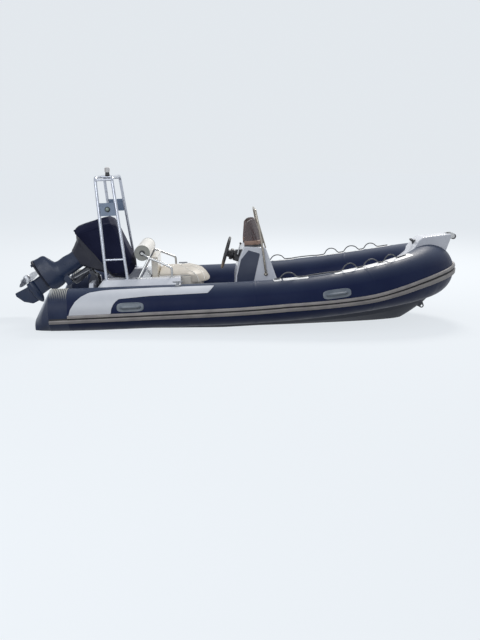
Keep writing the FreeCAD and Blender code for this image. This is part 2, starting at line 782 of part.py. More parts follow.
def console_side():
    # x and z round the side of the console, from the aft foot upward
    return ((CONSOLE_AFT_X, DECK_Z), (2412, 540), (2462, 764), (2532, 925), (2550, CONSOLE_TOP_Z + 22),
            (2770, CONSOLE_TOP_Z + 2), (2800, CONSOLE_TOP_Z - 12), (2915, 522), (CONSOLE_FORE_X, DECK_Z))


def console():
    """The moulded console, wider at its foot than at its top."""
    body = prism_y(console_side(), -CONSOLE_HALF_W, CONSOLE_HALF_W)
    for side in (-1, 1):
        aft = CONSOLE_AFT_X - 100
        taper = Part.Face(polygon([
            (aft, side * (CONSOLE_HALF_W + 1), DECK_Z), (aft, side * (CONSOLE_HALF_W + 60), 1000),
            (aft, side * CONSOLE_TOP_HALF_W, 1000)])).extrude(v(800, 0, 0))
        body = body.cut(taper)
    return body


def taper_y(z):
    """Half-width of the console's side at that height."""
    share = (z - DECK_Z) / (1000.0 - DECK_Z)
    return CONSOLE_HALF_W + 1 + (CONSOLE_TOP_HALF_W - CONSOLE_HALF_W - 1) * share


def console_panel(side):
    outline = ((2563, 868), (2709, 828), (2622, 420), (2425, 420), (2434, 560), (2486, 768))
    points = [(x, side * (taper_y(z) + SEAT_GAP), z) for x, z in outline]
    face = Part.Face(polygon(points))
    return face.extrude(v(0, side * 3.0, 0))


def screen_plan(offset):
    """The plan of the wrap-round windscreen at its base: x and y, starboard aft to port aft."""
    half = CONSOLE_TOP_HALF_W - 14 - offset
    fore = 2762.0 - offset
    return ((2534, -half), (2640, -half), (fore - 60, -half + 30), (fore, -half + 120),
            (fore, half - 120), (fore - 60, half - 30), (2640, half), (2534, half))


def console_band(z0, z1, offset, thickness):
    """A band standing on the console along the windscreen's plan."""
    outer = screen_plan(offset)
    inner = screen_plan(offset + thickness)
    return prism_z(list(outer) + list(inner[::-1]), z0, z1)


def screen_base():
    band = console_band(CONSOLE_TOP_Z - 30, CONSOLE_TOP_Z + 70, -4.0, 22.0)
    lower = console()
    return band.cut(lower)


def windscreen():
    """Tinted wrap-round screen: a leaning shell whose sides fall to the aft edge."""
    z0 = CONSOLE_TOP_Z + 70 + SEAT_GAP
    z1 = SCREEN_TOP_Z
    lean = 82.0
    low_outer = [(x, y, z0) for x, y in screen_plan(2.0)]
    low_inner = [(x, y, z0) for x, y in screen_plan(2.0 + SCREEN_T)]
    def raised(points):
        top = []
        for x, y, z in points:
            top.append((2560 + (x - 2534) * 0.55 if x < 2641 else x - lean, y * 0.9, z1))
        return top
    base = polygon(low_outer + low_inner[::-1])
    crown = polygon(raised(low_outer) + raised(low_inner)[::-1])
    shell = loft([base, crown])
    r = SCREEN_CORNER_R
    heart_x = 2551.0 + r
    heart_z = z1 - r
    arc = []
    for degrees in (180, 162, 144, 126, 108, 90):
        a = math.radians(degrees)
        arc.append((heart_x + r * math.cos(a), heart_z + r * math.sin(a)))
    cut = prism_y([(2450, heart_z)] + arc + [(heart_x, z1 + 60), (2450, z1 + 60)], -400, 400)
    return shell.cut(cut)


def console_rail():
    """The stainless grab hoop round the windscreen, with two short front struts."""
    y = CONSOLE_HALF_W + 8
    foot_x = HOOP_TOP_X + 116
    foot_z = 560.0
    half = [(foot_x, y, foot_z), (foot_x - 40, y, CONSOLE_TOP_Z - 10),
            (HOOP_TOP_X + 24, y - 10, HOOP_TOP_Z - 140), (HOOP_TOP_X, y - 40, HOOP_TOP_Z)]
    points = [(px, -py, pz) for px, py, pz in half] + half[::-1]
    parts = [bent_tube(points, HOOP_R, 26.0)]
    for side in (-1, 1):
        top = v(HOOP_TOP_X + 20, side * (y - 14), HOOP_TOP_Z - 110)
        foot = v(foot_x - 2, side * (taper_y(CONSOLE_TOP_Z) - 30), CONSOLE_TOP_Z - 4)
        parts.append(rod(top, foot, 9.0))
        pad = v(foot_x, side * y, foot_z)
        inner = v(foot_x, side * (taper_y(foot_z) + SEAT_GAP), foot_z)
        parts.append(rod(pad, inner, HOOP_R))
        parts.append(rod(v(foot_x, side * (taper_y(foot_z) + 6), foot_z), inner, 24.0))
    whole = fused(parts)
    return whole.cut(console())


def wheel_axis():
    a = math.radians(WHEEL_LEAN)
    return v(-math.cos(a), 0, math.sin(a))


def helm():
    """Helm column from the console's aft face to just short of the wheel's hub."""
    centre = v(WHEEL_X, 0, WHEEL_Z)
    axis = wheel_axis()
    column = rod(centre - axis * 22, centre - axis * 235, 46.0)
    bezel = rod(centre - axis * 150, centre - axis * 235, 70.0)
    spindle = rod(centre - axis * 30, centre + axis * 12, 9.0)
    return fused([column, bezel, spindle]).cut(console())


def steering_wheel():
    centre = v(WHEEL_X, 0, WHEEL_Z)
    axis = wheel_axis()
    rim = Part.makeTorus(WHEEL_R, WHEEL_RIM_R, centre, axis)
    hub = rod(centre - axis * 16, centre + axis * 20, 40.0)
    parts = [rim, hub]
    across = v(0, 1, 0)
    up = axis.cross(across)
    for degrees in (90, 210, 330):
        a = math.radians(degrees)
        direction = across * math.cos(a) + up * math.sin(a)
        parts.append(rod(centre + direction * 20, centre + direction * WHEEL_R, 11.0))
    whole = fused(parts)
    return bored(whole, centre - axis * 40, centre + axis * 12.5, 9.0 + RUNNING_GAP)


def throttle_box():
    """Side control box with its lever, on the starboard side of the helm."""
    body = box(2412, 2520, -232, -168, 730, 866)
    body = body.makeFillet(14.0, [e for e in body.Edges if abs(e.Vertexes[0].X - 2412) < 1
                                  and abs(e.Vertexes[-1].X - 2412) < 1])
    boss = rod(v(2448, -232, 812), v(2448, -254, 812), 24.0)
    lever = rod(v(2448, -248, 812), v(2420, -248, 930), 9.0)
    knob = rod(v(2420, -270, 932), v(2420, -215, 932), 13.0)
    return fused([body, boss, lever, knob]).cut(console())


# Bow fittings

def bow_step():
    """The white bow platform: a tapering top over a moulded skirt that saddles the tube."""
    rows = (
        # x, half-width, bottom z, top z
        (4460, 262, 470, 600), (4610, 235, 490, 735), (4728, 188, 500, 888), (4786, 174, 510, 924),
        (STEP_FORE_X - 70, 136, 730, 944), (STEP_FORE_X, 122, 900, 946))
    wires = []
    for x, half, z0, z1 in rows:
        round_z = z1 - 14
        wires.append(polygon([(x, -half, z0), (x, half, z0), (x, half, round_z), (x, half - 14, z1),
                              (x, -half + 14, z1), (x, -half, round_z)]))
    body = loft(wires)
    return body.cut(collar_shape(SEAT_GAP)).cut(hull_block())


def hull_block():
    return loft([hull_wire(row) for row in hull_rows()])


def roller_bracket():
    """Two cheeks and a pin that carry the bow roller at the end of the platform."""
    parts = []
    for side in (-1, 1):
        end = STEP_FORE_X
        pin = ROLLER_X
        cheek = prism_y([(end - 74, 941), (end - 4, 957), (pin - 12, 957), (pin + 15, 934),
                         (pin + 15, 896), (pin - 4, 887), (pin - 36, 890), (end - 4, 915),
                         (end - 74, 915)],
                        side * CHEEK_Y - 2.5, side * CHEEK_Y + 2.5)
        parts.append(cheek)
    pin_end = CHEEK_Y + 6.5
    parts.append(rod(v(ROLLER_X, -pin_end, ROLLER_Z), v(ROLLER_X, pin_end, ROLLER_Z), ROLLER_PIN_R))
    whole = fused(parts)
    return whole.cut(bow_step())


def bow_roller():
    """Waisted rubber roller."""
    bore_r = ROLLER_PIN_R + RUNNING_GAP
    profile = [(bore_r, -40), (ROLLER_R, -40), (ROLLER_R, -30), (22, -12), (22, 12),
               (ROLLER_R, 30), (ROLLER_R, 40), (bore_r, 40)]
    face = Part.Face(polygon([(ROLLER_X + r, y, ROLLER_Z) for r, y in profile]))
    return face.revolve(v(ROLLER_X, 0, ROLLER_Z), v(0, 1, 0), 360)


def bow_cleat():
    """Mooring post with a cross bar, square to the platform's aft slope."""
    foot = v(4703, 0, 855)
    away = v(-0.793, 0, 0.609)
    across = v(0, 58, 0)
    base = rod(foot - away * 12, foot + away * 14, 34.0)
    post = rod(foot, foot + away * 62, 17.0)
    bar = rod(foot + away * 50 - across, foot + away * 50 + across, 9.0)
    return fused([base, post, bar]).cut(bow_step())


def stem_point(x):
    """The keel line's point at x, with the unit vector that leaves the stem squarely there."""
    rows = hull_rows()
    for (x0, z0), (x1, z1) in zip([row[:2] for row in rows], [row[:2] for row in rows[1:]]):
        if x <= x1:
            break
    z = z0 + (z1 - z0) * (x - x0) / (x1 - x0)
    away = v(z1 - z0, 0, x0 - x1).normalize()
    return v(x, 0, z), away


def bow_eye_centre():
    foot, away = stem_point(BOW_EYE_X)
    return foot + away * BOW_EYE_REACH


def bow_eye():
    """Towing eye on the stem: a plate that stands out squarely, bored athwart."""
    foot, away = stem_point(BOW_EYE_X)
    along = v(-away.z, 0, away.x)
    # along the stem, out from the stem
    outline = ((-62, -24), (-40, 14), (-24, 54), (0, 66), (24, 54), (40, 14), (62, -24))
    corners = [foot + along * a + away * d for a, d in outline]
    plate = prism_y([(c.x, c.z) for c in corners], -BOW_EYE_T / 2, BOW_EYE_T / 2)
    centre = bow_eye_centre()
    plate = bored(plate, centre + v(0, -20, 0), centre + v(0, 20, 0), BOW_EYE_BORE_R)
    return plate.cut(hull_block())


def stern_cleats():
    """A horned cleat on the crown of each tube abreast of the bench."""
    cleats = []
    for side in (-1, 1):
        x = 1722.0
        y = side * (TUBE_HALF_SPACING + 42)
        z = TUBE_Z + TUBE_R - 6
        base = Part.makeCylinder(36.0, 18.0, v(x, y, z - 4), v(0, 0, 1))
        post = rod(v(x, y, z + 8), v(x, y, z + 46), 15.0)
        horn = rod(v(x - 62, y, z + 44), v(x + 62, y, z + 44), 9.5)
        cleats.append(fused([base, post, horn]))
    return Part.makeCompound(cleats).cut(collar_shape(SEAT_GAP))


def transom_eyes():
    """Two flat eye plates on the aft face of the hull, bored upright."""
    eyes = []
    for side in (-1, 1):
        y = side * TOW_EYE_Y
        z = TOW_EYE_Z
        flange = box(HULL_AFT_X - 6, HULL_AFT_X, y - 45, y + 45, z - 30, z + 30)
        lug = prism_z([(HULL_AFT_X - 3, y - 34), (HULL_AFT_X - 42, y - 28), (HULL_AFT_X - 58, y),
                       (HULL_AFT_X - 42, y + 28), (HULL_AFT_X - 3, y + 34)], z - 5, z + 5)
        hole = v(HULL_AFT_X - TOW_EYE_REACH, y, z)
        eye = fused([flange, lug])
        eyes.append(bored(eye, hole + v(0, 0, -20), hole + v(0, 0, 20), TOW_EYE_BORE_R))
    return Part.makeCompound(eyes)


# Outboard, drawn upright about its tilt tube and turned up to its rest tilt

def hung(shape):
    """From the upright engine frame to the boat: onto the tilt tube, then tilted."""
    placed = shape.copy()
    placed.translate(v(TILT_X, 0, TILT_Z))
    placed.rotate(v(TILT_X, 0, TILT_Z), v(0, 1, 0), TILT_REST)
    return placed


def clamp_bracket():
    """Two clamp plates over the transom, joined by the tilt tube."""
    parts = []
    x0 = HULL_AFT_X
    x1 = HULL_AFT_X + TRANSOM_T
    top = TRANSOM_TOP_Z
    for side in (-1, 1):
        outline = [
            (x0, 330), (x0 - 34, 345), (x0 - 52, 420), (x0 - 40, 540), (TILT_X - 34, TILT_Z + 26),
            (TILT_X, TILT_Z + 38), (TILT_X + 34, TILT_Z + 24), (x1 + 32, top - 10),
            (x1 + 26, 440), (x1, 440), (x1, top), (x0, top)]
        y0 = side * 104
        parts.append(prism_y(outline, y0 - 13, y0 + 13))
        screw = rod(v(x1, side * 104, 478), v(x1 + 52, side * 104, 478), 11.0)
        parts.append(screw)
    parts.append(rod(v(TILT_X, -124, TILT_Z), v(TILT_X, 124, TILT_Z), 15.0))
    return fused(parts)


def swivel_bracket():
    """Knuckle on the tilt tube, arms, and the steering tube behind it."""
    sleeve = rod(v(0, -82, 0), v(0, 82, 0), 29.0)
    tube = rod(v(STEER_U, 0, SWIVEL_LOW), v(STEER_U, 0, SWIVEL_TOP), SWIVEL_R)
    parts = [sleeve, tube]
    for side in (-1, 1):
        arm = prism_z([(0, side * 82), (0, side * 52), (STEER_U, side * 6), (STEER_U - 16, side * 30)],
                      -26, 26)
        parts.append(arm)
    web = prism_y([(STEER_U, -20), (STEER_U + 62, -20), (STEER_U + 50, -150), (STEER_U, -235)], -9, 9)
    parts.append(web)
    whole = fused(parts)
    whole = bored(whole, v(0, -90, 0), v(0, 90, 0), 15.0 + RUNNING_GAP)
    whole = bored(whole, v(STEER_U, 0, SWIVEL_LOW - 5), v(STEER_U, 0, SWIVEL_TOP + 5),
                  STEER_SHAFT_R + RUNNING_GAP)
    return hung(whole)


def leg_ring(rear, fore, w, half, nose):
    """A streamlined cross-section of the leg at height w, from rear to fore."""
    length = fore - rear
    return polygon([
        (rear, -half * 0.35, w), (rear + length * 0.3, -half, w), (fore - nose, -half, w),
        (fore, -half * 0.45, w), (fore, half * 0.45, w), (fore - nose, half, w),
        (rear + length * 0.3, half, w), (rear, half * 0.35, w)])


def outboard_leg():
    """Midsection, plates, gearcase, skeg, steering shaft and propeller shaft."""
    # rear, fore, height, half-width
    midsection = (
        (-502, -188, 66, 92), (-446, -188, -50, 76), (-429, -186, -200, 64), (-439, -186, -326, 60),
        (-580, -186, -409, 70), (-596, -186, -538, 82))
    strut = ((-400, -190, -540, 30), (-396, -185, -735, 26))
    parts = []
    for rows in (midsection, strut):
        parts.append(loft([leg_ring(r, f, w, h, 40.0) for r, f, w, h in rows]))
    cavitation = prism_z([(-606, -50), (-590, -90), (-420, -110), (-230, -86), (-180, 0),
                          (-230, 86), (-420, 110), (-590, 90), (-606, 50)], -552, -538)
    tab = prism_y([(-588, -545), (-530, -545), (-540, -604), (-572, -600)], -7, 7)
    gearcase = Part.Face(polygon([
        (-402, 0, PROP_AXIS_W), (-402, 0, PROP_AXIS_W + 50), (-330, 0, PROP_AXIS_W + 62),
        (-220, 0, PROP_AXIS_W + 58), (-140, 0, PROP_AXIS_W + 36), (-104, 0, PROP_AXIS_W)
        ])).revolve(v(0, 0, PROP_AXIS_W), v(1, 0, 0), 360)
    skeg = prism_y([(-372, PROP_AXIS_W - 20), (-371, -815), (-390, -972), (-350, -982),
                    (-240, -942), (-158, -858), (-142, PROP_AXIS_W - 20)], -6, 6)
    shaft = rod(v(-380, 0, PROP_AXIS_W), v(PROP_PLANE_U - 58, 0, PROP_AXIS_W), SHAFT_R)
    steer = rod(v(STEER_U, 0, SWIVEL_LOW - 60), v(STEER_U, 0, 66), STEER_SHAFT_R)
    yoke = box(-230, STEER_U + 24, -34, 34, SWIVEL_LOW - 62, SWIVEL_LOW - 10)
    parts += [cavitation, tab, gearcase, skeg, shaft, steer, yoke]
    return hung(fused(parts))


def lower_cowl():
    """The apron under the engine, narrowing down to the leg."""
    rear_u, rear_w, fore_u, fore_w, half, corner = cowl_rows()[0]
    wires = [cowl_ring(rear_u, rear_w, fore_u, fore_w, half, corner, COVER_T + 4.0),
             cowl_ring(-508, 66, -20, 66, 120, 40)]
    return hung(loft(wires))


def cowl_ring(rear_u, rear_w, fore_u, fore_w, half, corner, inset=0.0):
    """A cross-section of the cowl in a plane that runs from its rear point to its fore point."""
    rear = v(rear_u, 0, rear_w)
    fore = v(fore_u, 0, fore_w)
    along = (fore - rear).normalize()
    start = inset
    end = (fore - rear).Length - inset
    wide = half - inset
    points = []
    for a, b in ((start, wide - corner), (start + corner, wide), (end - corner, wide),
                 (end, wide - corner), (end, -wide + corner), (end - corner, -wide),
                 (start + corner, -wide), (start, -wide + corner)):
        points.append(rear + along * a + v(0, b, 0))
    return Part.makePolygon(points + [points[0]])


def cowl_rows():
    # rear u, rear w, fore u, fore w, half-width, corner
    return (
        (-600, 158, 132, 200, 206, 70), (-625, 215, 205, 285, 226, 80),
        (-566, 430, 222, 360, 226, 85), (-512, 580, 178, 500, 205, 85),
        (-460, 622, 118, 540, 160, 80))


def cowl_body(inset):
    wires = []
    last = cowl_rows()[-1]
    for row in cowl_rows():
        rear_u, rear_w, fore_u, fore_w, half, corner = row
        drop = inset if row == last else 0.0
        wires.append(cowl_ring(rear_u, rear_w - drop, fore_u, fore_w - drop, half, corner, inset))
    return loft(wires)


def cowl_cover():
    """The fabric cover drawn over the engine: a shell, open below."""
    shell = cowl_body(0.0).cut(cowl_body(COVER_T))
    return hung(shell)


def engine_block():
    """Powerhead and its hood as one block inside the cover, standing on the apron."""
    return hung(cowl_body(COVER_T + SEAT_GAP))


def blade():
    # radius, chord, thickness
    rows = ((34, 66, 12), (80, 118, 9), (125, 132, 6), (PROP_R, 62, 3))
    wires = []
    for radius, chord, thick in rows:
        pitch = math.atan2(PROP_PITCH, 2 * math.pi * radius)
        along = v(-math.sin(pitch), math.cos(pitch), 0)
        across = v(math.cos(pitch), math.sin(pitch), 0)
        centre = v(PROP_PLANE_U, 0, 0) + v(0, 0, radius)
        points = []
        for a, b in ((-0.5, 0.12), (-0.2, 0.5), (0.25, 0.5), (0.5, 0.12), (0.5, -0.12),
                     (0.25, -0.5), (-0.2, -0.5), (-0.5, -0.12)):
            points.append(centre + along * (a * chord) + across * (b * thick))
        wires.append(Part.makePolygon(points + [points[0]]))
    return loft(wires)


def propeller():
    hub = Part.Face(polygon([
        (-409, 0, 0), (-409, 0, 42), (-440, 0, 46), (-498, 0, 40), (-506, 0, 24), (-506, 0, 0)
        ])).revolve(v(0, 0, 0), v(1, 0, 0), 360)
    parts = [hub]
    for i in range(PROP_BLADES):
        turned = blade()
        turned.rotate(v(0, 0, 0), v(1, 0, 0), 20 + i * 360.0 / PROP_BLADES)
        parts.append(turned)
    whole = fused(parts)
    whole = bored(whole, v(-400, 0, 0), v(-506.5, 0, 0), SHAFT_R + RUNNING_GAP)
    whole.translate(v(0, 0, PROP_AXIS_W))
    return hung(whole)


# Export, floated to the trimmed frame

def floated(shape):
    placed = shape.copy()
    placed.translate(v(-ORIGIN_X, 0, 0))
    placed.rotate(v(0, 0, 0), v(0, 1, 0), -TRIM_DEG)
    return placed


def pieces():
    """Node name and shape of every piece, in build order."""
    cone = stern_cone()
    band = cone_wear_band()
    panel = side_panel()
    handles = carry_handles()
    patches = grab_patches()
    line = grab_line()
    yield "hull", hull()
    yield "tube_collar", tube_collar()
    yield "stern_cone_starboard", cone
    yield "stern_cone_port", mirrored(cone)
    yield "cone_wear_ribs_starboard", band
    yield "cone_wear_ribs_port", mirrored(band)
    yield "side_panel_starboard", panel
    yield "side_panel_port", mirrored(panel)
    yield "rub_strake", rub_strake()
    yield "carry_handles_starboard", handles
    yield "carry_handles_port", mirrored(handles)
    yield "grab_patches", Part.makeCompound([patches, mirrored(patches)])
    yield "grab_line_starboard", line
    yield "grab_line_port", mirrored(line)
    yield "cockpit_deck", cockpit_deck()
    yield "transom_board", transom_board()
    yield "stern_moulding", stern_moulding()
    yield "bench_base", bench_base()
    yield "bench_cushion", bench_cushion()
    yield "backrest_frame", backrest_frame()
    yield "backrest_roll", backrest_roll()
    yield "arch_frame", arch_frame()
    yield "arch_plate_starboard", arch_plate(-1)
    yield "arch_plate_port", arch_plate(1)
    yield "side_light_starboard", side_light(-1)
    yield "side_light_port", side_light(1)
    yield "masthead_light_base", light_base()
    yield "masthead_light_lens", light_lens()
    yield "console", console()
    yield "console_panels", Part.makeCompound([console_panel(-1), console_panel(1)])
    yield "windscreen_base", screen_base()
    yield "windscreen", windscreen()
    yield "console_rail", console_rail()
    yield "helm", helm()
    yield "steering_wheel", steering_wheel()
    yield "throttle_box", throttle_box()
    yield "bow_step", bow_step()
    yield "roller_bracket", roller_bracket()
    yield "bow_roller", bow_roller()
    yield "bow_cleat", bow_cleat()
    yield "bow_eye", bow_eye()
    yield "stern_cleats", stern_cleats()
    yield "transom_eyes", transom_eyes()
    yield "clamp_bracket", clamp_bracket()
    yield "swivel_bracket", swivel_bracket()
    yield "outboard_leg", outboard_leg()
    yield "lower_cowl", lower_cowl()
    yield "engine_block", engine_block()
    yield "cowl_cover", cowl_cover()
    yield "propeller", propeller()


os.makedirs("parts", exist_ok=True)
for name, shape in pieces():
    floated(shape).exportStep("parts/" + name + ".step")
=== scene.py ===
import bmesh
import bpy
import math
import numpy as np
from mathutils import Matrix, Vector
from mathutils.bvhtree import BVHTree


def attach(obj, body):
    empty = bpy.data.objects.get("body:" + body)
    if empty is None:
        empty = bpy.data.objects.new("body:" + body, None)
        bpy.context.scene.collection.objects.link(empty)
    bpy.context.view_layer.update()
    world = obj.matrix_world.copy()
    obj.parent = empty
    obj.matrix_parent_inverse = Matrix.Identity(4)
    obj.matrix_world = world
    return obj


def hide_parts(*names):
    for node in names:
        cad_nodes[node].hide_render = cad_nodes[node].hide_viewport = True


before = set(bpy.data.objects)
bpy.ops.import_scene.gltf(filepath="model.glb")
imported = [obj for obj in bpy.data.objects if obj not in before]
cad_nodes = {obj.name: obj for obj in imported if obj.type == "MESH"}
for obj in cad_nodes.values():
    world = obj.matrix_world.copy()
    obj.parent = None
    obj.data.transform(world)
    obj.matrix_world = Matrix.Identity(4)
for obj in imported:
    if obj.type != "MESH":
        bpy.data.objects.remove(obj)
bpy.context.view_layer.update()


# The viewpoint: someone standing on the shore, abeam of the boat's starboard side.
# The horizon line and a focal length in picture rows fix how the camera is turned.
EYE = Vector((0.01, -11.0, 2.05))
PICTURE_WIDE = 480
PICTURE_HIGH = 640
FOCAL_ROWS = 870.0
HORIZON_LEFT_ROW = 151.6
HORIZON_SLOPE = 0.0095
EYE_HEADING = math.radians(-1.8)
SENSOR = 36.0


def aim_camera():
    roll = math.atan(HORIZON_SLOPE)
    horizon_mid = HORIZON_LEFT_ROW + HORIZON_SLOPE * PICTURE_WIDE / 2
    pitch = math.atan((PICTURE_HIGH / 2 - horizon_mid) * math.cos(roll) / FOCAL_ROWS)
    ahead = Vector((-math.sin(EYE_HEADING), math.cos(EYE_HEADING), 0))
    side = Vector((math.cos(EYE_HEADING), math.sin(EYE_HEADING), 0))
    up = Vector((0, 0, 1))
    look = ahead * math.cos(pitch) - up * math.sin(pitch)
    above = ahead * math.sin(pitch) + up * math.cos(pitch)
    right = side * math.cos(roll) + above * math.sin(roll)
    head = above * math.cos(roll) - side * math.sin(roll)
    data = bpy.data.cameras.new("shore_view")
    data.sensor_width = SENSOR
    data.sensor_height = SENSOR
    data.lens = FOCAL_ROWS / PICTURE_HIGH * SENSOR
    camera = bpy.data.objects.new("shore_view", data)
    turned = Matrix((right, head, -look)).transposed().to_4x4()
    camera.matrix_world = Matrix.Translation(EYE) @ turned
    bpy.context.scene.collection.objects.link(camera)
    bpy.context.scene.camera = camera


aim_camera()


# The studio: a pale floor at the waterline, a pale surround, one broad high lamp behind the
# boat as the sun stood, and a wide soft lamp from the shore side. What the camera, gloss and
# glass see of the floor and surround is one even pale tone; only the shadow darkens it.
FLOOR_HALF = 90.0
FLOOR_COLOUR = (0.17, 0.175, 0.18, 1)
SURROUND_COLOUR = (0.78, 0.82, 0.87, 1)
SEEN_COLOUR = (0.77, 0.81, 0.85, 1)
FLOOR_GLOW = 0.89
WORLD_STRENGTH = 0.62


def worked(tree, operation, *values):
    """A sum on sockets or numbers."""
    node = tree.nodes.new("ShaderNodeMath")
    node.operation = operation
    for socket, value in zip(node.inputs, values):
        if isinstance(value, float):
            socket.default_value = value
        else:
            tree.links.new(value, socket)
    return node.outputs["Value"]


def seen_rays(tree):
    """One for rays from the camera, off gloss or through glass, and nought for the rest."""
    path = tree.nodes.new("ShaderNodeLightPath")
    glossy = worked(tree, "MAXIMUM", path.outputs["Is Camera Ray"], path.outputs["Is Glossy Ray"])
    return worked(tree, "MAXIMUM", glossy, path.outputs["Is Transmission Ray"])


def floor_material():
    material = bpy.data.materials.new("pale_floor")
    material.use_nodes = True
    tree = material.node_tree
    inputs = tree.nodes["Principled BSDF"].inputs
    inputs["Base Color"].default_value = FLOOR_COLOUR
    inputs["Roughness"].default_value = 0.55
    inputs["Specular IOR Level"].default_value = 0.0
    inputs["Emission Color"].default_value = SEEN_COLOUR
    tree.links.new(worked(tree, "MULTIPLY", seen_rays(tree), FLOOR_GLOW), inputs["Emission Strength"])
    return material


def lay_floor():
    half = FLOOR_HALF
    mesh = bpy.data.meshes.new("floor")
    mesh.from_pydata([(-half, -half, 0), (half, -half, 0), (half, half, 0), (-half, half, 0)],
                     [], [(0, 1, 2, 3)])
    floor = bpy.data.objects.new("floor", mesh)
    mesh.materials.append(floor_material())
    bpy.context.scene.collection.objects.link(floor)


def lamp(name, place, target, size, watts, colour):
    data = bpy.data.lights.new(name, "AREA")
    data.shape = "DISK"
    data.size = size
    data.energy = watts
    data.color = colour
    light = bpy.data.objects.new(name, data)
    light.location = place
    light.rotation_euler = (Vector(target) - Vector(place)).to_track_quat("-Z", "Y").to_euler()
    bpy.context.scene.collection.objects.link(light)


def light_studio():
    world = bpy.data.worlds.new("surround")
    bpy.context.scene.world = world
    world.use_nodes = True
    tree = world.node_tree
    back = tree.nodes["Background"]
    back.inputs["Color"].default_value = SURROUND_COLOUR
    back.inputs["Strength"].default_value = WORLD_STRENGTH
    seen = tree.nodes.new("ShaderNodeBackground")
    seen.inputs["Color"].default_value = SEEN_COLOUR
    seen.inputs["Strength"].default_value = 1.0
    choice = tree.nodes.new("ShaderNodeMixShader")
    tree.links.new(seen_rays(tree), choice.inputs["Fac"])
    tree.links.new(back.outputs["Background"], choice.inputs[1])
    tree.links.new(seen.outputs["Background"], choice.inputs[2])
    tree.links.new(choice.outputs["Shader"], tree.nodes["World Output"].inputs["Surface"])
    lamp("high_lamp", (3.5, 6.5, 8.5), (0, 0, 0.4), 3.4, 900, (1.0, 0.965, 0.91))
    lamp("shore_lamp", (-3.0, -8.5, 4.2), (0, 0, 0.5), 5.0, 170, (0.93, 0.96, 1.0))
    bpy.context.scene.view_settings.view_transform = "Standard"


lay_floor()
light_studio()


# The inflated collar: one coated-fabric tube bent round the bow in a half ellipse and rising
# to the nose. Everything bonded to it is placed by station x, side and angle round the tube.
TRIM = math.radians(2.6)
ORIGIN_X = 2.1
TUBE_R = 0.25
NOSE_R = 0.32
HALF_SPACING = 0.88
TUBE_Z = 0.305
NOSE_RISE = 0.212
SHEER_START_X = 2.2
TUBE_AFT_X = 0.447
BOW_START_X = 3.0
NOSE_X = 4.865
BOW_REACH = NOSE_X - BOW_START_X
STARBOARD = -1
PORT = 1


def afloat(points):
    """Level boat frame to the floating one: amidships to the origin, then bow up by the trim."""
    points = np.asarray(points, float)
    x = points[..., 0] - ORIGIN_X
    z = points[..., 2]
    turned_x = x * math.cos(TRIM) - z * math.sin(TRIM)
    turned_z = x * math.sin(TRIM) + z * math.cos(TRIM)
    return np.stack([turned_x, points[..., 1], turned_z], -1)


def grid_faces(rows, columns, closed=True, ring=False):
    """Quads of a grid; closed joins the last column to the first, ring the last row."""
    a = np.arange(rows if ring else rows - 1)[:, None]
    b = np.arange(columns if closed else columns - 1)[None, :]
    next_a = (a + 1) % rows
    next_b = (b + 1) % columns
    quads = [a * columns + b, a * columns + next_b, next_a * columns + next_b, next_a * columns + b]
    return [tuple(face) for face in np.stack(quads, -1).reshape(-1, 4).tolist()]


def lofted(rings, capped=True, closed=True, ring=False):
    """Points and faces of rings (rows x columns x 3) skinned in order, ends closed flat."""
    rings = np.asarray(rings, float)
    rows, columns = rings.shape[:2]
    faces = grid_faces(rows, columns, closed, ring)
    if capped and not ring:
        faces.append(tuple(range(columns))[::-1])
        faces.append(tuple(range((rows - 1) * columns, rows * columns)))
    return rings.reshape(-1, 3), faces


def built(name, parts, material, body="hull", replaces=(), sharp=35.0):
    """One object from (points, faces) parts in the level frame, riding on a body."""
    points = []
    faces = []
    start = 0
    for part_points, part_faces in parts:
        points.append(afloat(part_points))
        faces += [tuple(index + start for index in face) for face in part_faces]
        start += len(part_points)
    mesh = bpy.data.meshes.new(name)
    mesh.from_pydata(np.concatenate(points).tolist(), [], faces)
    work = bmesh.new()
    work.from_mesh(mesh)
    bmesh.ops.recalc_face_normals(work, faces=work.faces)
    work.to_mesh(mesh)
    work.free()
    mesh.polygons.foreach_set("use_smooth", [True] * len(mesh.polygons))
    mesh.set_sharp_from_angle(angle=math.radians(sharp))
    mesh.materials.append(material)
    piece = bpy.data.objects.new(name, mesh)
    bpy.context.scene.collection.objects.link(piece)
    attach(piece, body)
    if replaces:
        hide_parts(*replaces)
    return piece


def collar_frame(x, side):
    """Centre, outward, upward and radius of the collar at station x on one side."""
    x = np.asarray(x, float)
    share = np.clip((x - BOW_START_X) / BOW_REACH, 0, 1)
    turn = np.arcsin(share)
    run = np.clip((x - SHEER_START_X) / (NOSE_X - SHEER_START_X), 0, 1)
    rise = 2 * NOSE_RISE * run / (NOSE_X - SHEER_START_X)
    centre = np.stack([x, side * HALF_SPACING * np.cos(turn), TUBE_Z + NOSE_RISE * run ** 2], -1)
    along_x = BOW_REACH * np.cos(turn)
    along_y = -side * HALF_SPACING * np.sin(turn)
    ahead = np.stack([along_x, along_y, rise * along_x], -1)
    ahead /= np.linalg.norm(ahead, axis=-1, keepdims=True)
    outward = -side * np.stack([ahead[..., 1], -ahead[..., 0], np.zeros_like(share)], -1)
    outward /= np.linalg.norm(outward, axis=-1, keepdims=True)
    upward = -side * np.cross(outward, ahead)
    radius = TUBE_R + (NOSE_R - TUBE_R) * share ** 2
    return centre, outward, upward, radius


def on_collar(x, side, degrees, height=0.0):
    """Points on the collar: degrees count from outboard upward, height is above the skin."""
    centre, outward, upward, radius = collar_frame(x, side)
    a = np.radians(degrees)[..., None]
    reach = np.asarray(radius + height)[..., None]
    return centre + (outward * np.cos(a) + upward * np.sin(a)) * reach


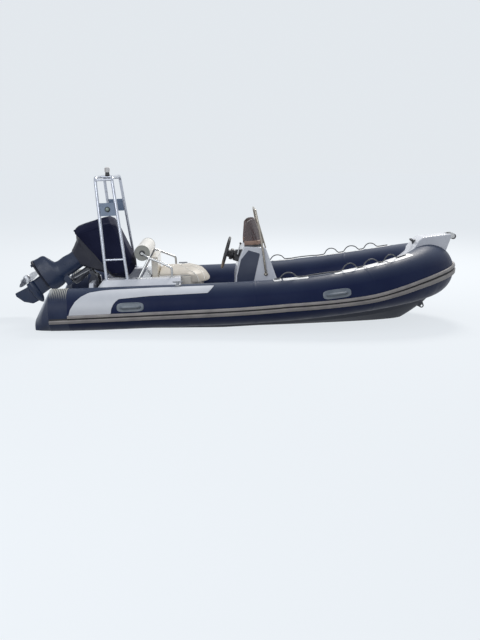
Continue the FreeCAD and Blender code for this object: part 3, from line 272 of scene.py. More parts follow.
def stations(aft_x, straight=14, bow=30):
    """Station x values from aft_x to the nose, even in angle round the bow."""
    turn = np.linspace(0, math.pi / 2, bow)
    return np.concatenate([np.linspace(aft_x, BOW_START_X, straight)[:-1],
                           BOW_START_X + BOW_REACH * np.sin(turn)])


SOCKETS = {"metallic": "Metallic", "coat": "Coat Weight", "sheen": "Sheen Weight", "ior": "IOR",
           "specular": "Specular IOR Level", "transmission": "Transmission Weight"}


def shader(name, colour, roughness, **extra):
    """A plain surface shader; returns the material, its node tree and the shader node."""
    material = bpy.data.materials.new(name)
    material.use_nodes = True
    node = material.node_tree.nodes["Principled BSDF"]
    node.inputs["Base Color"].default_value = (*colour, 1)
    node.inputs["Roughness"].default_value = roughness
    for word, value in extra.items():
        node.inputs[SOCKETS[word]].default_value = value
    return material, material.node_tree, node


def noise(tree, scale, detail=4.0, stretch=(1, 1, 1)):
    """Noise on the object's own coordinates, stretched by direction."""
    place = tree.nodes.new("ShaderNodeTexCoord")
    mapping = tree.nodes.new("ShaderNodeMapping")
    mapping.inputs["Scale"].default_value = stretch
    cloud = tree.nodes.new("ShaderNodeTexNoise")
    cloud.inputs["Scale"].default_value = scale
    cloud.inputs["Detail"].default_value = detail
    tree.links.new(place.outputs["Object"], mapping.inputs["Vector"])
    tree.links.new(mapping.outputs["Vector"], cloud.inputs["Vector"])
    return cloud.outputs["Fac"]


def mixed(tree, factor, low, high):
    """A colour between two, by a factor socket."""
    mix = tree.nodes.new("ShaderNodeMix")
    mix.data_type = "RGBA"
    tree.links.new(factor, mix.inputs["Factor"])
    for socket, value in ((mix.inputs[6], low), (mix.inputs[7], high)):
        if isinstance(value, tuple):
            socket.default_value = (*value, 1)
        else:
            tree.links.new(value, socket)
    return mix.outputs[2]


def ranged(tree, value, low, high, to_low=0.0, to_high=1.0):
    """A value mapped from one range to another, held at its ends."""
    node = tree.nodes.new("ShaderNodeMapRange")
    node.inputs["From Min"].default_value = low
    node.inputs["From Max"].default_value = high
    node.inputs["To Min"].default_value = to_low
    node.inputs["To Max"].default_value = to_high
    tree.links.new(value, node.inputs["Value"])
    return node.outputs["Result"]


def bumped(tree, node, height, strength, distance):
    bump = tree.nodes.new("ShaderNodeBump")
    bump.inputs["Strength"].default_value = strength
    bump.inputs["Distance"].default_value = distance
    tree.links.new(height, bump.inputs["Height"])
    tree.links.new(bump.outputs["Normal"], node.inputs["Normal"])


def weave(tree, scale):
    """Two crossing sets of fine threads on the object's coordinates."""
    place = tree.nodes.new("ShaderNodeTexCoord")
    sets = []
    for direction in ("X", "Z"):
        threads = tree.nodes.new("ShaderNodeTexWave")
        threads.bands_direction = direction
        threads.inputs["Scale"].default_value = scale
        threads.inputs["Distortion"].default_value = 0.4
        tree.links.new(place.outputs["Object"], threads.inputs["Vector"])
        sets.append(threads.outputs["Fac"])
    return worked(tree, "ADD", *sets)


NAVY = (0.0080, 0.0150, 0.057)
NAVY_FADED = (0.0135, 0.0225, 0.069)
# Slate for faces turned to the sky: salt dust and a painted reflection of the sky together.
SLATE_DUST_AND_SHEEN = (0.070, 0.092, 0.135)


def tube_fabric():
    """Coated fabric, satin, paler where it faces the sky: salt dust, and a painted reflection of the sky."""
    material, tree, node = shader("tube_fabric", NAVY, 0.42, specular=0.13)
    clouds = mixed(tree, ranged(tree, noise(tree, 2.6), 0.38, 0.68), NAVY, NAVY_FADED)
    facing = tree.nodes.new("ShaderNodeNewGeometry")
    split = tree.nodes.new("ShaderNodeSeparateXYZ")
    tree.links.new(facing.outputs["Normal"], split.inputs["Vector"])
    # Painted reflection with dust: the upward faces are mixed towards slate by their normal.
    dust_and_sheen = ranged(tree, split.outputs["Z"], 0.45, 1.0, 0.0, 0.55)
    tree.links.new(mixed(tree, dust_and_sheen, clouds, SLATE_DUST_AND_SHEEN), node.inputs["Base Color"])
    tree.links.new(ranged(tree, noise(tree, 9.0), 0.3, 0.7, 0.37, 0.50), node.inputs["Roughness"])
    bumped(tree, node, weave(tree, 260.0), 0.06, 0.0004)
    return material


COLLAR_SIDES = 72
navy_fabric = tube_fabric()


def collar_rings(degrees, height, aft_x=TUBE_AFT_X):
    """Rows of points from the starboard end round the nose to the port end."""
    x = stations(aft_x)
    starboard = on_collar(x[:, None], STARBOARD, degrees[None, :], height)
    port = on_collar(x[::-1][1:, None], PORT, degrees[None, :], height)
    return np.concatenate([starboard, port])


round_tube = np.linspace(0, 360, COLLAR_SIDES, endpoint=False)
built("collar", [lofted(collar_rings(round_tube, np.zeros(COLLAR_SIDES)))], navy_fabric,
      replaces=["tube_collar"])


# The collar's joint tapes: strips of the same coated fabric, glued round the tube where two
# of its fabric panels meet. They stand 1.6 mm proud.
TAPE_T = 0.0016
# station x, half-width
TAPES = ((0.475, 0.028), (2.62, 0.02), (3.95, 0.02))


def both_sides(parts):
    """The starboard parts and their mirror images on the port side."""
    flipped = [(points * np.array([1, -1, 1]), faces) for points, faces in parts]
    return parts + flipped


def tape(x, half):
    across = np.linspace(x - half, x + half, 4)
    rings = []
    for row, height in zip(across, (0.0, TAPE_T, TAPE_T, 0.0)):
        rings.append(on_collar(np.full(COLLAR_SIDES, row), STARBOARD, round_tube, height))
    return lofted(rings, capped=False)


built("joint_tapes", both_sides([tape(x, half) for x, half in TAPES]), navy_fabric)


# The stern cones: moulded rubber end caps, a straight sleeve glued to the tube and a cone
# that droops to a blunt tip, with a band of raised wear ribs over the top of the sleeve.
CONE_START_X = 0.226
CONE_TIP = (0.030, 0.124)
CONE_TIP_R = 0.074
RIB_COUNT = 10
RIB_W = 0.011
RIB_T = 0.005
RIB_FROM = 35.0
RIB_TO = 150.0


def cone_rings():
    """Rings that shrink and drop from the sleeve's end to the tip, so that the crest runs straight."""
    rings = []
    a = np.radians(round_tube)
    for x in (TUBE_AFT_X, 0.34, CONE_START_X + 0.01):
        rings.append(np.stack([np.full(COLLAR_SIDES, x), -HALF_SPACING - TUBE_R * np.cos(a),
                               TUBE_Z + TUBE_R * np.sin(a)], -1))
    # share of the way to the tip, share of the radius there
    for share, full in ((0.0, 1.0), (0.015, 0.994), (0.05, 0.985), (0.2, 0.985), (0.4, 0.99), (0.6, 1.0),
                        (0.8, 1.0), (0.9, 0.995), (0.95, 0.96), (0.98, 0.87), (0.995, 0.70), (1.0, 0.45)):
        radius = (TUBE_R + (CONE_TIP_R - TUBE_R) * share) * full
        rings.append(np.stack([np.full(COLLAR_SIDES, CONE_START_X + (CONE_TIP[0] - CONE_START_X) * share),
                               -HALF_SPACING - radius * np.cos(a),
                               TUBE_Z + (CONE_TIP[1] - TUBE_Z) * share + radius * np.sin(a)], -1))
    return lofted(rings)


def worn(tree, node, colour, faded, scale=3.0, amount=(0.35, 0.7)):
    """Base colour drifting between fresh and faded in soft clouds."""
    factor = ranged(tree, noise(tree, scale), *amount)
    tree.links.new(mixed(tree, factor, colour, faded), node.inputs["Base Color"])


def object_place(tree):
    """The object's own coordinates as X, Y and Z sockets."""
    split = tree.nodes.new("ShaderNodeSeparateXYZ")
    place = tree.nodes.new("ShaderNodeTexCoord")
    tree.links.new(place.outputs["Object"], split.inputs["Vector"])
    return split.outputs


def cone_rubber():
    """Slate rubber with a painted highlight: a pale stripe along the crest of the cone."""
    material, tree, node = shader("cone_rubber", NAVY, 0.5, specular=0.3)
    worn(tree, node, (0.013, 0.022, 0.058), (0.026, 0.038, 0.084), scale=5.0)
    plain = node.inputs["Base Color"].links[0].from_socket
    place = object_place(tree)
    off = worked(tree, "ABSOLUTE", place["Y"])
    # Painted highlight: a pale stripe on the upper outer side of the cone, aft of its sleeve.
    factor = ranged(tree, place["X"], -1.845, -1.885)
    for crest_highlight_ramp in (ranged(tree, off, HALF_SPACING - 0.11, HALF_SPACING - 0.06),
                   ranged(tree, off, HALF_SPACING + 0.17, HALF_SPACING + 0.10),
                   ranged(tree, place["Z"], 0.06, 0.30)):
        factor = worked(tree, "MULTIPLY", factor, crest_highlight_ramp)
    tree.links.new(mixed(tree, factor, plain, (0.62, 0.66, 0.72)), node.inputs["Base Color"])
    bumped(tree, node, noise(tree, 420.0, 2.0), 0.10, 0.0005)
    return material


def wear_rib(x):
    """A low rounded rib round the top of the sleeve that thins out at both ends."""
    degrees = np.linspace(RIB_FROM, RIB_TO, 40)
    fade = np.clip(np.minimum(degrees - RIB_FROM, RIB_TO - degrees) / 14.0, 0.02, 1)
    profile = ((0.0, 0.0004), (0.12, 0.8), (0.5, 1.0), (0.88, 0.8), (1.0, 0.0004))
    rings = []
    for across, height in profile:
        rings.append(on_collar(np.full(40, x + across * RIB_W), STARBOARD, degrees,
                               0.0004 + RIB_T * height * fade))
    return lofted(rings, capped=False, closed=False)


def rib_rubber():
    """Navy rubber with a painted highlight: pale over the crown, dark where the rib runs down the side."""
    material, tree, node = shader("wear_rib", (0.5, 0.5, 0.42), 0.55)
    # Painted highlight: pale towards the top of the tube, navy rubber lower down.
    top_highlight = ranged(tree, object_place(tree)["Z"], 0.385, 0.475)
    tree.links.new(mixed(tree, top_highlight, (0.020, 0.030, 0.068), (0.50, 0.50, 0.45)), node.inputs["Base Color"])
    return material


built("stern_cones", both_sides([cone_rings()]), cone_rubber(),
      replaces=["stern_cone_starboard", "stern_cone_port"], sharp=40)
rib_step = (TUBE_AFT_X - CONE_START_X - 0.014) / RIB_COUNT
built("cone_ribs", both_sides([wear_rib(CONE_START_X + 0.01 + i * rib_step)
                               for i in range(RIB_COUNT)]), rib_rubber(),
      replaces=["cone_wear_ribs_starboard", "cone_wear_ribs_port"], sharp=60)


# The light side panels: white coated fabric bonded to the outer side of each tube. The top
# edge runs along the tube's shoulder and the lower edge steps up round the dark bay amidships.
PANEL_T = 0.003
# station x, height of the edge in the level frame
PANEL_TOP = ((0.450, 0.215), (0.455, 0.262), (0.482, 0.348), (0.540, 0.433), (0.606, 0.482),
             (0.694, 0.518), (0.830, 0.532), (0.945, 0.537), (1.408, 0.540), (2.100, 0.540),
             (2.141, 0.538))
PANEL_LOW = ((0.450, 0.2), (0.936, 0.2), (0.944, 0.260), (0.950, 0.330), (0.975, 0.384),
             (1.005, 0.418), (1.044, 0.444), (1.182, 0.452), (1.412, 0.464), (1.758, 0.467),
             (2.069, 0.471), (2.141, 0.536))
STRAKE_HALF = 10.5
# station x, angle of the strake's groove below the tube's equator
STRAKE_LINE = ((0.230, -15.0), (2.0, -12.5), (3.0, -10.5), (3.55, -14.0), (3.85, -15.5),
               (4.0, -14.5), (4.22, -9.5), (4.45, -3.5), (4.66, 1.0), (4.865, 4.0))
GROOVE_UP = 1.6


def read_line(table, x):
    known = np.array(table)
    return np.interp(x, known[:, 0], known[:, 1])


def strake_angle(x):
    """The angle of the strake's middle, a little below its groove."""
    return read_line(STRAKE_LINE, x) - GROOVE_UP


def height_to_degrees(x, z):
    """The angle round the tube at which its outer side has that height."""
    centre, _, _, radius = collar_frame(x, STARBOARD)
    return np.degrees(np.arcsin(np.clip((z - centre[..., 2]) / radius, -1, 1)))


def side_panel():
    """A skin between two edges: each column runs from the lower to the upper edge."""
    x = np.unique(np.concatenate([np.linspace(0.45, 0.62, 16), np.linspace(0.62, 0.935, 12),
                                  np.linspace(0.935, 1.06, 22), np.linspace(1.06, 2.141, 30)]))
    low = np.maximum(height_to_degrees(x, read_line(PANEL_LOW, x)), strake_angle(x) + STRAKE_HALF + 0.3)
    top = np.maximum(height_to_degrees(x, read_line(PANEL_TOP, x)), low + 0.05)
    share = np.linspace(0, 1, 13)
    degrees = low[:, None] + (top - low)[:, None] * share[None, :]
    outer = on_collar(x[:, None], STARBOARD, degrees, PANEL_T)
    inner = on_collar(x[:, None], STARBOARD, degrees, 0.0004)
    return lofted(np.concatenate([outer, inner[:, ::-1]], 1))


def weathered(name, fresh, faded, roughness, clouds, amount=(0.35, 0.7), grain=None, threads=None,
              gloss=None, **extra):
    """A surface that drifts from fresh to faded in clouds of that scale. Grain is a noise's scale,
    detail, strength and depth, threads a weave's, and gloss spreads the roughness by a noise."""
    material, tree, node = shader(name, fresh, roughness, **extra)
    worn(tree, node, fresh, faded, clouds, amount)
    if gloss:
        scale, detail, *span = gloss
        tree.links.new(ranged(tree, noise(tree, scale, detail), *span), node.inputs["Roughness"])
    if grain:
        scale, detail, strength, depth = grain
        bumped(tree, node, noise(tree, scale, detail), strength, depth)
    if threads:
        scale, strength, depth = threads
        bumped(tree, node, weave(tree, scale), strength, depth)
    return material


white_fabric = weathered("panel_fabric", (0.74, 0.755, 0.80), (0.60, 0.62, 0.68), 0.42, 2.2, (0.42, 0.78),
                         threads=(260.0, 0.05, 0.0004))
built("side_panels", both_sides([side_panel()]), white_fabric,
      replaces=["side_panel_starboard", "side_panel_port"])


# The rubbing strake: an extruded rubber profile glued round the collar, two pale ridged bands
# with a dark groove between them.
# degrees from the groove, height over the tube
STRAKE_PROFILE = (
    (-10.5, 0.001), (-10.5, 0.010), (-10.2, 0.017), (-9.4, 0.0235), (-8.2, 0.0262), (-7.0, 0.0245),
    (-5.8, 0.0268), (-4.6, 0.0252), (-3.4, 0.0275), (-2.0, 0.0278), (-1.0, 0.0240), (-0.6, 0.0125),
    (3.8, 0.0125), (4.2, 0.0240), (4.8, 0.0275), (5.6, 0.0255), (6.4, 0.0272), (7.4, 0.0250),
    (8.4, 0.0262), (9.4, 0.0240), (10.1, 0.0175), (10.5, 0.010), (10.5, 0.001))
GROOVE_COLUMN = 11
STRAKE_AFT_X = 0.232


def strake_part():
    """The profile carried round the collar; its upper band stops at the end sleeve."""
    profile = np.array(STRAKE_PROFILE)
    x = np.sort(np.append(stations(STRAKE_AFT_X, straight=18), [TUBE_AFT_X - 0.004, TUBE_AFT_X]))
    degrees = strake_angle(x)[:, None] + profile[None, :, 0]
    on_sleeve = (x[:, None] < TUBE_AFT_X - 0.001) & (profile[None, :, 0] > 3)
    rows = on_collar(x[:, None], STARBOARD, degrees, np.where(on_sleeve, -0.004, profile[None, :, 1]))
    port = (rows * np.array([1, -1, 1]))[::-1][1:]
    return lofted(np.concatenate([rows, port]))


def second_finish(piece, material, columns, column):
    """One column of the loft's faces takes a second material; the end caps don't."""
    piece.data.materials.append(material)
    chosen = np.arange(len(piece.data.polygons)) % columns == column
    chosen[-2:] = False
    piece.data.polygons.foreach_set("material_index", chosen.astype(int))


strake_rubber = weathered("strake_rubber", (0.40, 0.37, 0.355), (0.27, 0.25, 0.25), 0.5, 6.0, (0.4, 0.75),
                          grain=(300.0, 2.0, 0.12, 0.0006))
strake = built("strake", [strake_part()], strake_rubber, replaces=["rub_strake"], sharp=50)
groove_dark, _, _ = shader("groove_rubber", (0.018, 0.017, 0.020), 0.7)
second_finish(strake, groove_dark, len(STRAKE_PROFILE), GROOVE_COLUMN)


# The carrying handles: a moulded grey rubber lozenge glued to the tube, dished behind a fat
# round grip that stands off it.
HANDLE_L = 0.31
HANDLE_H = 0.104
GRIP_R = 0.014
GRIP_STAND = 0.042
# station x, height
HANDLES = ((1.171, 0.350), (3.532, 0.404))


def round_corners(points, bend, steps=7):
    """A path through the points with an arc of the bend radius at each inner corner."""
    points = np.asarray(points, float)
    path = [points[0]]
    for before, corner, after in zip(points, points[1:], points[2:]):
        into = (corner - before) / np.linalg.norm(corner - before)
        out = (after - corner) / np.linalg.norm(after - corner)
        half = math.acos(np.clip(into @ out, -1, 1)) / 2
        if half < 0.02:
            path.append(corner)
            continue
        inward = (out - into) / np.linalg.norm(out - into)
        heart = corner + inward * bend / math.cos(half)
        for angle in np.linspace(-half, half, steps):
            path.append(heart - inward * bend * math.cos(angle)
                        + (into + out) / np.linalg.norm(into + out) * bend * math.sin(angle))
    path.append(points[-1])
    return np.array(path)


def swept(path, radius, sides=16):
    """A round bar carried along a path without twist; radius may change along it."""
    path = np.asarray(path, float)
    radius = np.broadcast_to(np.asarray(radius, float), (len(path),))
    ahead = np.gradient(path, axis=0)
    ahead /= np.linalg.norm(ahead, axis=1, keepdims=True)
    normal = np.cross(ahead[0], (0.0, 0.0, 1.0))
    if np.linalg.norm(normal) < 0.1:
        normal = np.cross(ahead[0], (0.0, 1.0, 0.0))
    normals = []
    for heading in ahead:
        normal = normal - heading * (normal @ heading)
        normal = normal / np.linalg.norm(normal)
        normals.append(normal)
    normals = np.array(normals)
    across = np.cross(ahead, normals)
    a = np.linspace(0, 2 * math.pi, sides, endpoint=False)[None, :, None]
    rings = path[:, None] + radius[:, None, None] * (normals[:, None] * np.cos(a)
                                                     + across[:, None] * np.sin(a))
    return lofted(rings)


def squared_ring(steps, power_x, power_y):
    """The unit circle pushed out towards a square: each coordinate raised to its own power."""
    around = np.linspace(0, 2 * math.pi, steps, endpoint=False)
    return [np.sign(share) * np.abs(share) ** power
            for share, power in ((np.cos(around), power_x), (np.sin(around), power_y))]


def handle_slope(x):
    """How steeply the collar rises at that station."""
    run = max(0.0, (x - SHEER_START_X) / (NOSE_X - SHEER_START_X))
    return 2 * NOSE_RISE * run / (NOSE_X - SHEER_START_X)


def handle_parts(x, z):
    """The pad is a rounded lozenge in rings from its rim to its middle; heights dish it."""
    shape_x, shape_z = squared_ring(56, 0.45, 0.62)
    rings = []
    # share of the size, height
    for share, height in ((1.0, 0.0006), (0.995, 0.005), (0.97, 0.0075), (0.90, 0.0082),
                          (0.84, 0.0062), (0.6, 0.0042), (0.3, 0.0040), (0.02, 0.0040)):
        px = shape_x * share * HANDLE_L / 2
        pz = shape_z * share * HANDLE_H / 2 + handle_slope(x) * px
        degrees = height_to_degrees(x + px, z + pz)
        rings.append(on_collar(x + px, STARBOARD, degrees, height))
    reach = HANDLE_L / 2 - 0.045
    along = np.array([-reach, -reach + 0.026, reach - 0.026, reach])
    degrees = height_to_degrees(x + along, z + handle_slope(x) * along)
    corners = on_collar(x + along, STARBOARD, degrees, np.array([0.002, GRIP_STAND, GRIP_STAND, 0.002]))
    path = round_corners(corners, 0.02)
    flare = np.abs(np.linspace(-1, 1, len(path)))
    return [lofted(rings), swept(path, GRIP_R * (1 + 0.16 * flare ** 4), 20)]


handle_rubber = weathered("handle_rubber", (0.165, 0.195, 0.235), (0.27, 0.30, 0.34), 0.36, 9.0,
                          grain=(500.0, 2.0, 0.1, 0.0004))
built("carry_handles", both_sides([part for x, z in HANDLES for part in handle_parts(x, z)]),
      handle_rubber, replaces=["carry_handles_starboard", "carry_handles_port"])


# The grab line: a stiff 14 mm cord in a grey sheath, held down by white holder patches along
# the crown of each tube and standing up in a handhold loop between them.
PATCH_T = 0.004
PATCH_HALF = 0.058
ROPE_R = 0.007
CROWN = 85.0
# from x, to x where the cord is held down; the patches reach on under the loops
HOLDS = ((2.85, 2.94), (3.12, 3.25), (3.56, 3.69), (3.85, 3.95), (4.12, 4.21), (4.35, 4.50))
PATCHES = ((2.850, 2.945), (2.965, 3.265), (3.575, 3.955), (3.962, 4.215), (4.240, 4.545))
# from x, to x, height of each loop
LOOPS = ((2.94, 3.12, 0.062), (3.25, 3.56, 0.007), (3.69, 3.85, 0.068), (3.95, 4.12, 0.062),
         (4.21, 4.35, 0.058))
PATCH_SEAT = 0.0045


def patch_part(x0, x1):
    """A rounded rectangle of fabric on the crown, in rings from rim to middle."""
    shape_x, shape_y = squared_ring(40, 0.3 * 0.13 / (x1 - x0), 0.3)
    rings = []
    for share, height in ((1.0, 0.0006), (1.0, PATCH_T - 0.0008), (0.96, PATCH_T), (0.5, PATCH_T),
                          (0.02, PATCH_T)):
        x = (x0 + x1) / 2 + shape_x * share * (x1 - x0) / 2
        degrees = CROWN + shape_y * share * math.degrees(PATCH_HALF / TUBE_R)
        rings.append(on_collar(x, STARBOARD, degrees, height))
    return lofted(rings)


def rope_points(side):
    """Control points of the source's route: three on each patch and three in each loop, the
    middle one raised a little since a smooth curve passes below it."""
    points = []
    for (x0, x1), loop in zip(HOLDS, LOOPS + (None,)):
        for x in (x0 + 0.01, (x0 + x1) / 2, x1 - 0.01):
            points.append(on_collar(np.array(x), side, np.array(CROWN), PATCH_SEAT + ROPE_R))
        if loop:
            start, end, height = loop
            for share, lift in ((0.14, 0.80), (0.48, 1.12), (0.86, 0.80)):
                x = start + (end - start) * share
                points.append(on_collar(np.array(x), side, np.array(CROWN),
                                        PATCH_T + ROPE_R + height * lift))
    return afloat(np.array(points))


def corded(name, points, radius, material):
    """A smooth curve with the points as its control points, round in section."""
    data = bpy.data.curves.new(name, "CURVE")
    data.dimensions = "3D"
    data.bevel_depth = radius
    data.bevel_resolution = 5
    data.resolution_u = 8
    data.use_fill_caps = True
    spline = data.splines.new("NURBS")
    spline.points.add(len(points) - 1)
    for point, place in zip(spline.points, points):
        point.co = (*place, 1)
    spline.order_u = 3
    spline.use_endpoint_u = True
    data.materials.append(material)
    piece = bpy.data.objects.new(name, data)
    bpy.context.scene.collection.objects.link(piece)
    return piece


rope_sheath = weathered("grab_rope", (0.060, 0.065, 0.075), (0.15, 0.155, 0.165), 0.5, 40.0,
                        grain=(900.0, 2.0, 0.25, 0.0006), sheen=0.1)
patch_fabric = weathered("patch_fabric", (0.84, 0.84, 0.85), (0.66, 0.67, 0.70), 0.42, 14.0,
                         threads=(320.0, 0.05, 0.0004))
for side, word in ((STARBOARD, "starboard"), (PORT, "port")):
    route = rope_points(side)
    line = corded(f"grab_cord_{word}", route, ROPE_R, rope_sheath)
    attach(line, "hull")
    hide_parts(f"grab_line_{word}")
built("grab_holders", both_sides([patch_part(x0, x1) for x0, x1 in PATCHES]), patch_fabric,
      replaces=["grab_patches"])


# The rigid hull: a deep V in dark laminate below the collar, with a narrow flat at each chine
# and a raked stem, and a white inner moulding that closes it on top.
HULL_AFT_X = 0.610
CHINE_STEP = 0.042
# station x, keel height, chine half-width, chine height, inner moulding height
HULL_LINES = np.array((
    (0.610, -0.232, 0.680, -0.012, 0.290), (1.500, -0.235, 0.680, -0.006, 0.290),
    (2.400, -0.236, 0.680, 0.000, 0.290), (3.200, -0.228, 0.655, 0.015, 0.290),
    (3.800, -0.214, 0.580, 0.034, 0.290), (4.200, -0.188, 0.468, 0.058, 0.350),
    (4.450, -0.142, 0.360, 0.084, 0.430), (4.600, -0.066, 0.275, 0.106, 0.460),
    (4.740, 0.024, 0.190, 0.140, 0.490), (4.860, 0.118, 0.105, 0.186, 0.510),
    (4.935, 0.222, 0.040, 0.246, 0.520)))


def eased(known_x, known, x):
    """A curve through the known points: cubic between two, its slope the mean of both sides."""
    slope = np.gradient(known, known_x, axis=0)
    i = np.clip(np.searchsorted(known_x, x) - 1, 0, len(known_x) - 2)
    step = (known_x[i + 1] - known_x[i])[:, None]
    t = (x - known_x[i])[:, None] / step
    return (known[i] * (1 + 2 * t) * (1 - t) ** 2 + slope[i] * step * t * (1 - t) ** 2
            + known[i + 1] * t ** 2 * (3 - 2 * t) + slope[i + 1] * step * t ** 2 * (t - 1))


def hull_rings():
    """Sections from stern to stem: each runs from the port top edge under the keel to starboard."""
    x = np.concatenate([np.linspace(HULL_AFT_X, 3.8, 26), np.linspace(3.84, 4.935, 34)])
    keel, chine_y, chine_z, deck = eased(HULL_LINES[:, 0], HULL_LINES[:, 1:], x).T
    centre, _, _, radius = collar_frame(x, PORT)
    gun_y = np.maximum(0.06, centre[:, 1] - 0.04)
    gun_z = centre[:, 2] - radius + 0.008
    top_y = np.maximum(0.04, centre[:, 1] - 0.09)
    half = [(top_y, deck), (gun_y, gun_z), (chine_y + CHINE_STEP, chine_z - 0.004),
            (chine_y, chine_z)]
    for t in (0.82, 0.62, 0.42, 0.24, 0.1, 0.03):
        full = np.sin(math.pi * t) * 0.012 * np.clip((x - 3.6) / 0.6, 0, 1)
        half.append((chine_y * t, keel + (chine_z - keel) * t - full))
    half.append((chine_y * 0.0, keel - 0.0005))
    half = np.array(half).transpose(2, 0, 1)
    other = half[:, -2::-1] * np.array([-1, 1])
    section = np.concatenate([half, other], 1)
    return np.concatenate([np.repeat(x, section.shape[1]).reshape(len(x), -1, 1), section], 2)


def gelcoat(name, colour, dulled):
    """Polished moulded skin: a faint orange peel and slow clouds of chalking."""
    return weathered(name, colour, dulled, 0.22, 1.7, (0.42, 0.74), grain=(38.0, 2.0, 0.05, 0.0008),
                     gloss=(7.0, 4.0, 0.35, 0.7, 0.176, 0.352), coat=0.3)


def scuffed_hull():
    """Dark gelcoat with a pale scum line and long scrapes that run with the keel."""
    material, tree, node = shader("hull_gelcoat", (0.016, 0.021, 0.045), 0.5, specular=0.12)
    scrapes = ranged(tree, noise(tree, 3.0, 8.0, (1.0, 9.0, 22.0)), 0.56, 0.74)
    fresh = mixed(tree, scrapes, (0.011, 0.016, 0.038), (0.032, 0.036, 0.052))
    band = ranged(tree, object_place(tree)["Z"], 0.0, 0.03, 0.35, 0.0)
    tree.links.new(mixed(tree, band, fresh, (0.05, 0.055, 0.062)), node.inputs["Base Color"])
    bumped(tree, node, noise(tree, 60.0, 3.0), 0.08, 0.0008)
    return material


white_gelcoat = gelcoat("white_gelcoat", (0.74, 0.76, 0.82), (0.62, 0.63, 0.69))
section_rings = hull_rings()
hull = built("hull_shell", [lofted(section_rings)], scuffed_hull(), replaces=["hull"], sharp=24)
second_finish(hull, white_gelcoat, section_rings.shape[1], section_rings.shape[1] - 1)


# The cockpit sole: one flat laminate panel in moulded grey non-slip, ribbed all over in
# diagonal bands.
def ribbed_sole():
    material, tree, node = shader("deck_grip", (0.36, 0.37, 0.39), 0.62)
    worn(tree, node, (0.38, 0.39, 0.41), (0.27, 0.275, 0.285), scale=4.0)
    place = tree.nodes.new("ShaderNodeTexCoord")
    ribs = tree.nodes.new("ShaderNodeTexWave")
    ribs.bands_direction = "DIAGONAL"
    ribs.inputs["Scale"].default_value = 22.0
    tree.links.new(place.outputs["Object"], ribs.inputs["Vector"])
    bumped(tree, node, ribs.outputs["Fac"], 0.6, 0.0015)
    return material


def finish(names, material):
    """Pieces kept as they are from the source take this finish."""
    for name in names:
        mesh = cad_nodes[name].data
        mesh.materials.clear()
        mesh.materials.append(material)


finish(["cockpit_deck"], ribbed_sole())


# The transom board: a thick painted panel across the stern that the engine hangs on, with
# clipped top corners and rounded edges.
def prism(outline, low, high, axis):
    """A polygon carried straight along one axis: its corners at the low end, then the high end."""
    outline = np.asarray(outline, float)
    ends = [np.insert(outline, axis, value, axis=1) for value in (low, high)]
    return lofted(ends)


def rounded(piece, width, segments=3, angle=30.0):
    """Edges broken by a small radius, flats kept flat."""
    bevel = piece.modifiers.new("edges", "BEVEL")
    bevel.width = width
    bevel.segments = segments
    bevel.limit_method = "ANGLE"
    bevel.angle_limit = math.radians(angle)
    bevel.harden_normals = True
    return piece


BOARD_HALF = 0.44
BOARD_TOP = 0.54
board = [(-BOARD_HALF, 0.29), (BOARD_HALF, 0.29), (BOARD_HALF, BOARD_TOP - 0.06),
         (BOARD_HALF - 0.06, BOARD_TOP), (-BOARD_HALF + 0.06, BOARD_TOP),
         (-BOARD_HALF, BOARD_TOP - 0.06)]
rounded(built("transom", [prism(board, 0.610, 0.665, 0)], white_gelcoat,
              replaces=["transom_board"], sharp=180), 0.008)


# The stern moulding: a white tray between the tubes. Its shoulders rest on them, its middle
# is sunk into an engine well with radiused edges, and a bay in its fore end takes the bench.
MOULD_AFT_X = 0.705
MOULD_FORE_X = 1.745
MOULD_TOP = 0.6
MOULD_EDGE = 0.016
WELL_FLOOR = 0.31


def tray_section(x):
    """Half of a section, outer foot to middle: tube arc, slope, rounded shoulder, wall, floor."""
    top = min(MOULD_TOP, 0.470 + (x - 0.704) * 1.2)
    dip = np.interp(x, (1.246, 1.254, 1.270, 1.370, 1.386, 1.394), (1, 0.93, 0, 0, 0.93, 1))
    half_w = 0.425 if x < 1.32 else 0.455
    floor = top - (top - min(WELL_FLOOR, top)) * dip
    arc = np.radians(np.linspace(-3.4, 57.5, 9))
    points = [np.stack([HALF_SPACING - (TUBE_R + 0.0005) * np.cos(arc),
                        TUBE_Z + (TUBE_R + 0.0005) * np.sin(arc)], -1)]
    shoulder = np.radians(np.linspace(53, 90, 6))
    points.append(np.stack([0.606 + 0.026 * np.cos(shoulder),
                            top - 0.026 + 0.026 * np.sin(shoulder)], -1))
    edge = min(MOULD_EDGE, (top - floor) / 2)
    turn = np.radians(np.linspace(90, 180, 7))
    points.append(np.stack([half_w + MOULD_EDGE + edge * np.cos(turn),
                            top - edge + edge * np.sin(turn)], -1))
    turn = np.radians(np.linspace(0, -90, 7))
    points.append(np.stack([half_w - MOULD_EDGE + edge * np.cos(turn),
                            floor + edge + edge * np.sin(turn)], -1))
    points.append(np.array([[0.0, floor]]))
    half = np.concatenate(points)
    half[:, 1] = np.minimum(half[:, 1], top)
    return half


tray_x = np.concatenate([np.linspace(MOULD_AFT_X, 0.84, 14), np.linspace(0.90, 1.238, 5),
                         np.linspace(1.246, 1.272, 9), np.linspace(1.368, 1.394, 9),
                         np.linspace(1.42, MOULD_FORE_X, 4)])
tray_half = np.array([tray_section(x) for x in tray_x])
tray = np.concatenate([tray_half, (tray_half * np.array([-1, 1]))[:, -2::-1]], 1)
tray = np.concatenate([np.broadcast_to(tray_x[:, None, None], tray.shape[:2] + (1,)), tray], 2)
built("stern_tray", [lofted(tray)], white_gelcoat, replaces=["stern_moulding"], sharp=38)


# The bench: a moulded seat box on the sole whose fore face bows forward in the middle, with a
# narrower backboard that stands up behind the cushion.
BENCH_HALF = 0.45
BENCH_TOP = 0.592
cream_gelcoat = gelcoat("cream_gelcoat", (0.78, 0.73, 0.64), (0.66, 0.61, 0.53))


def bench_front(y):
    return 2.010 - 0.155 * np.abs(y / BENCH_HALF) ** 3


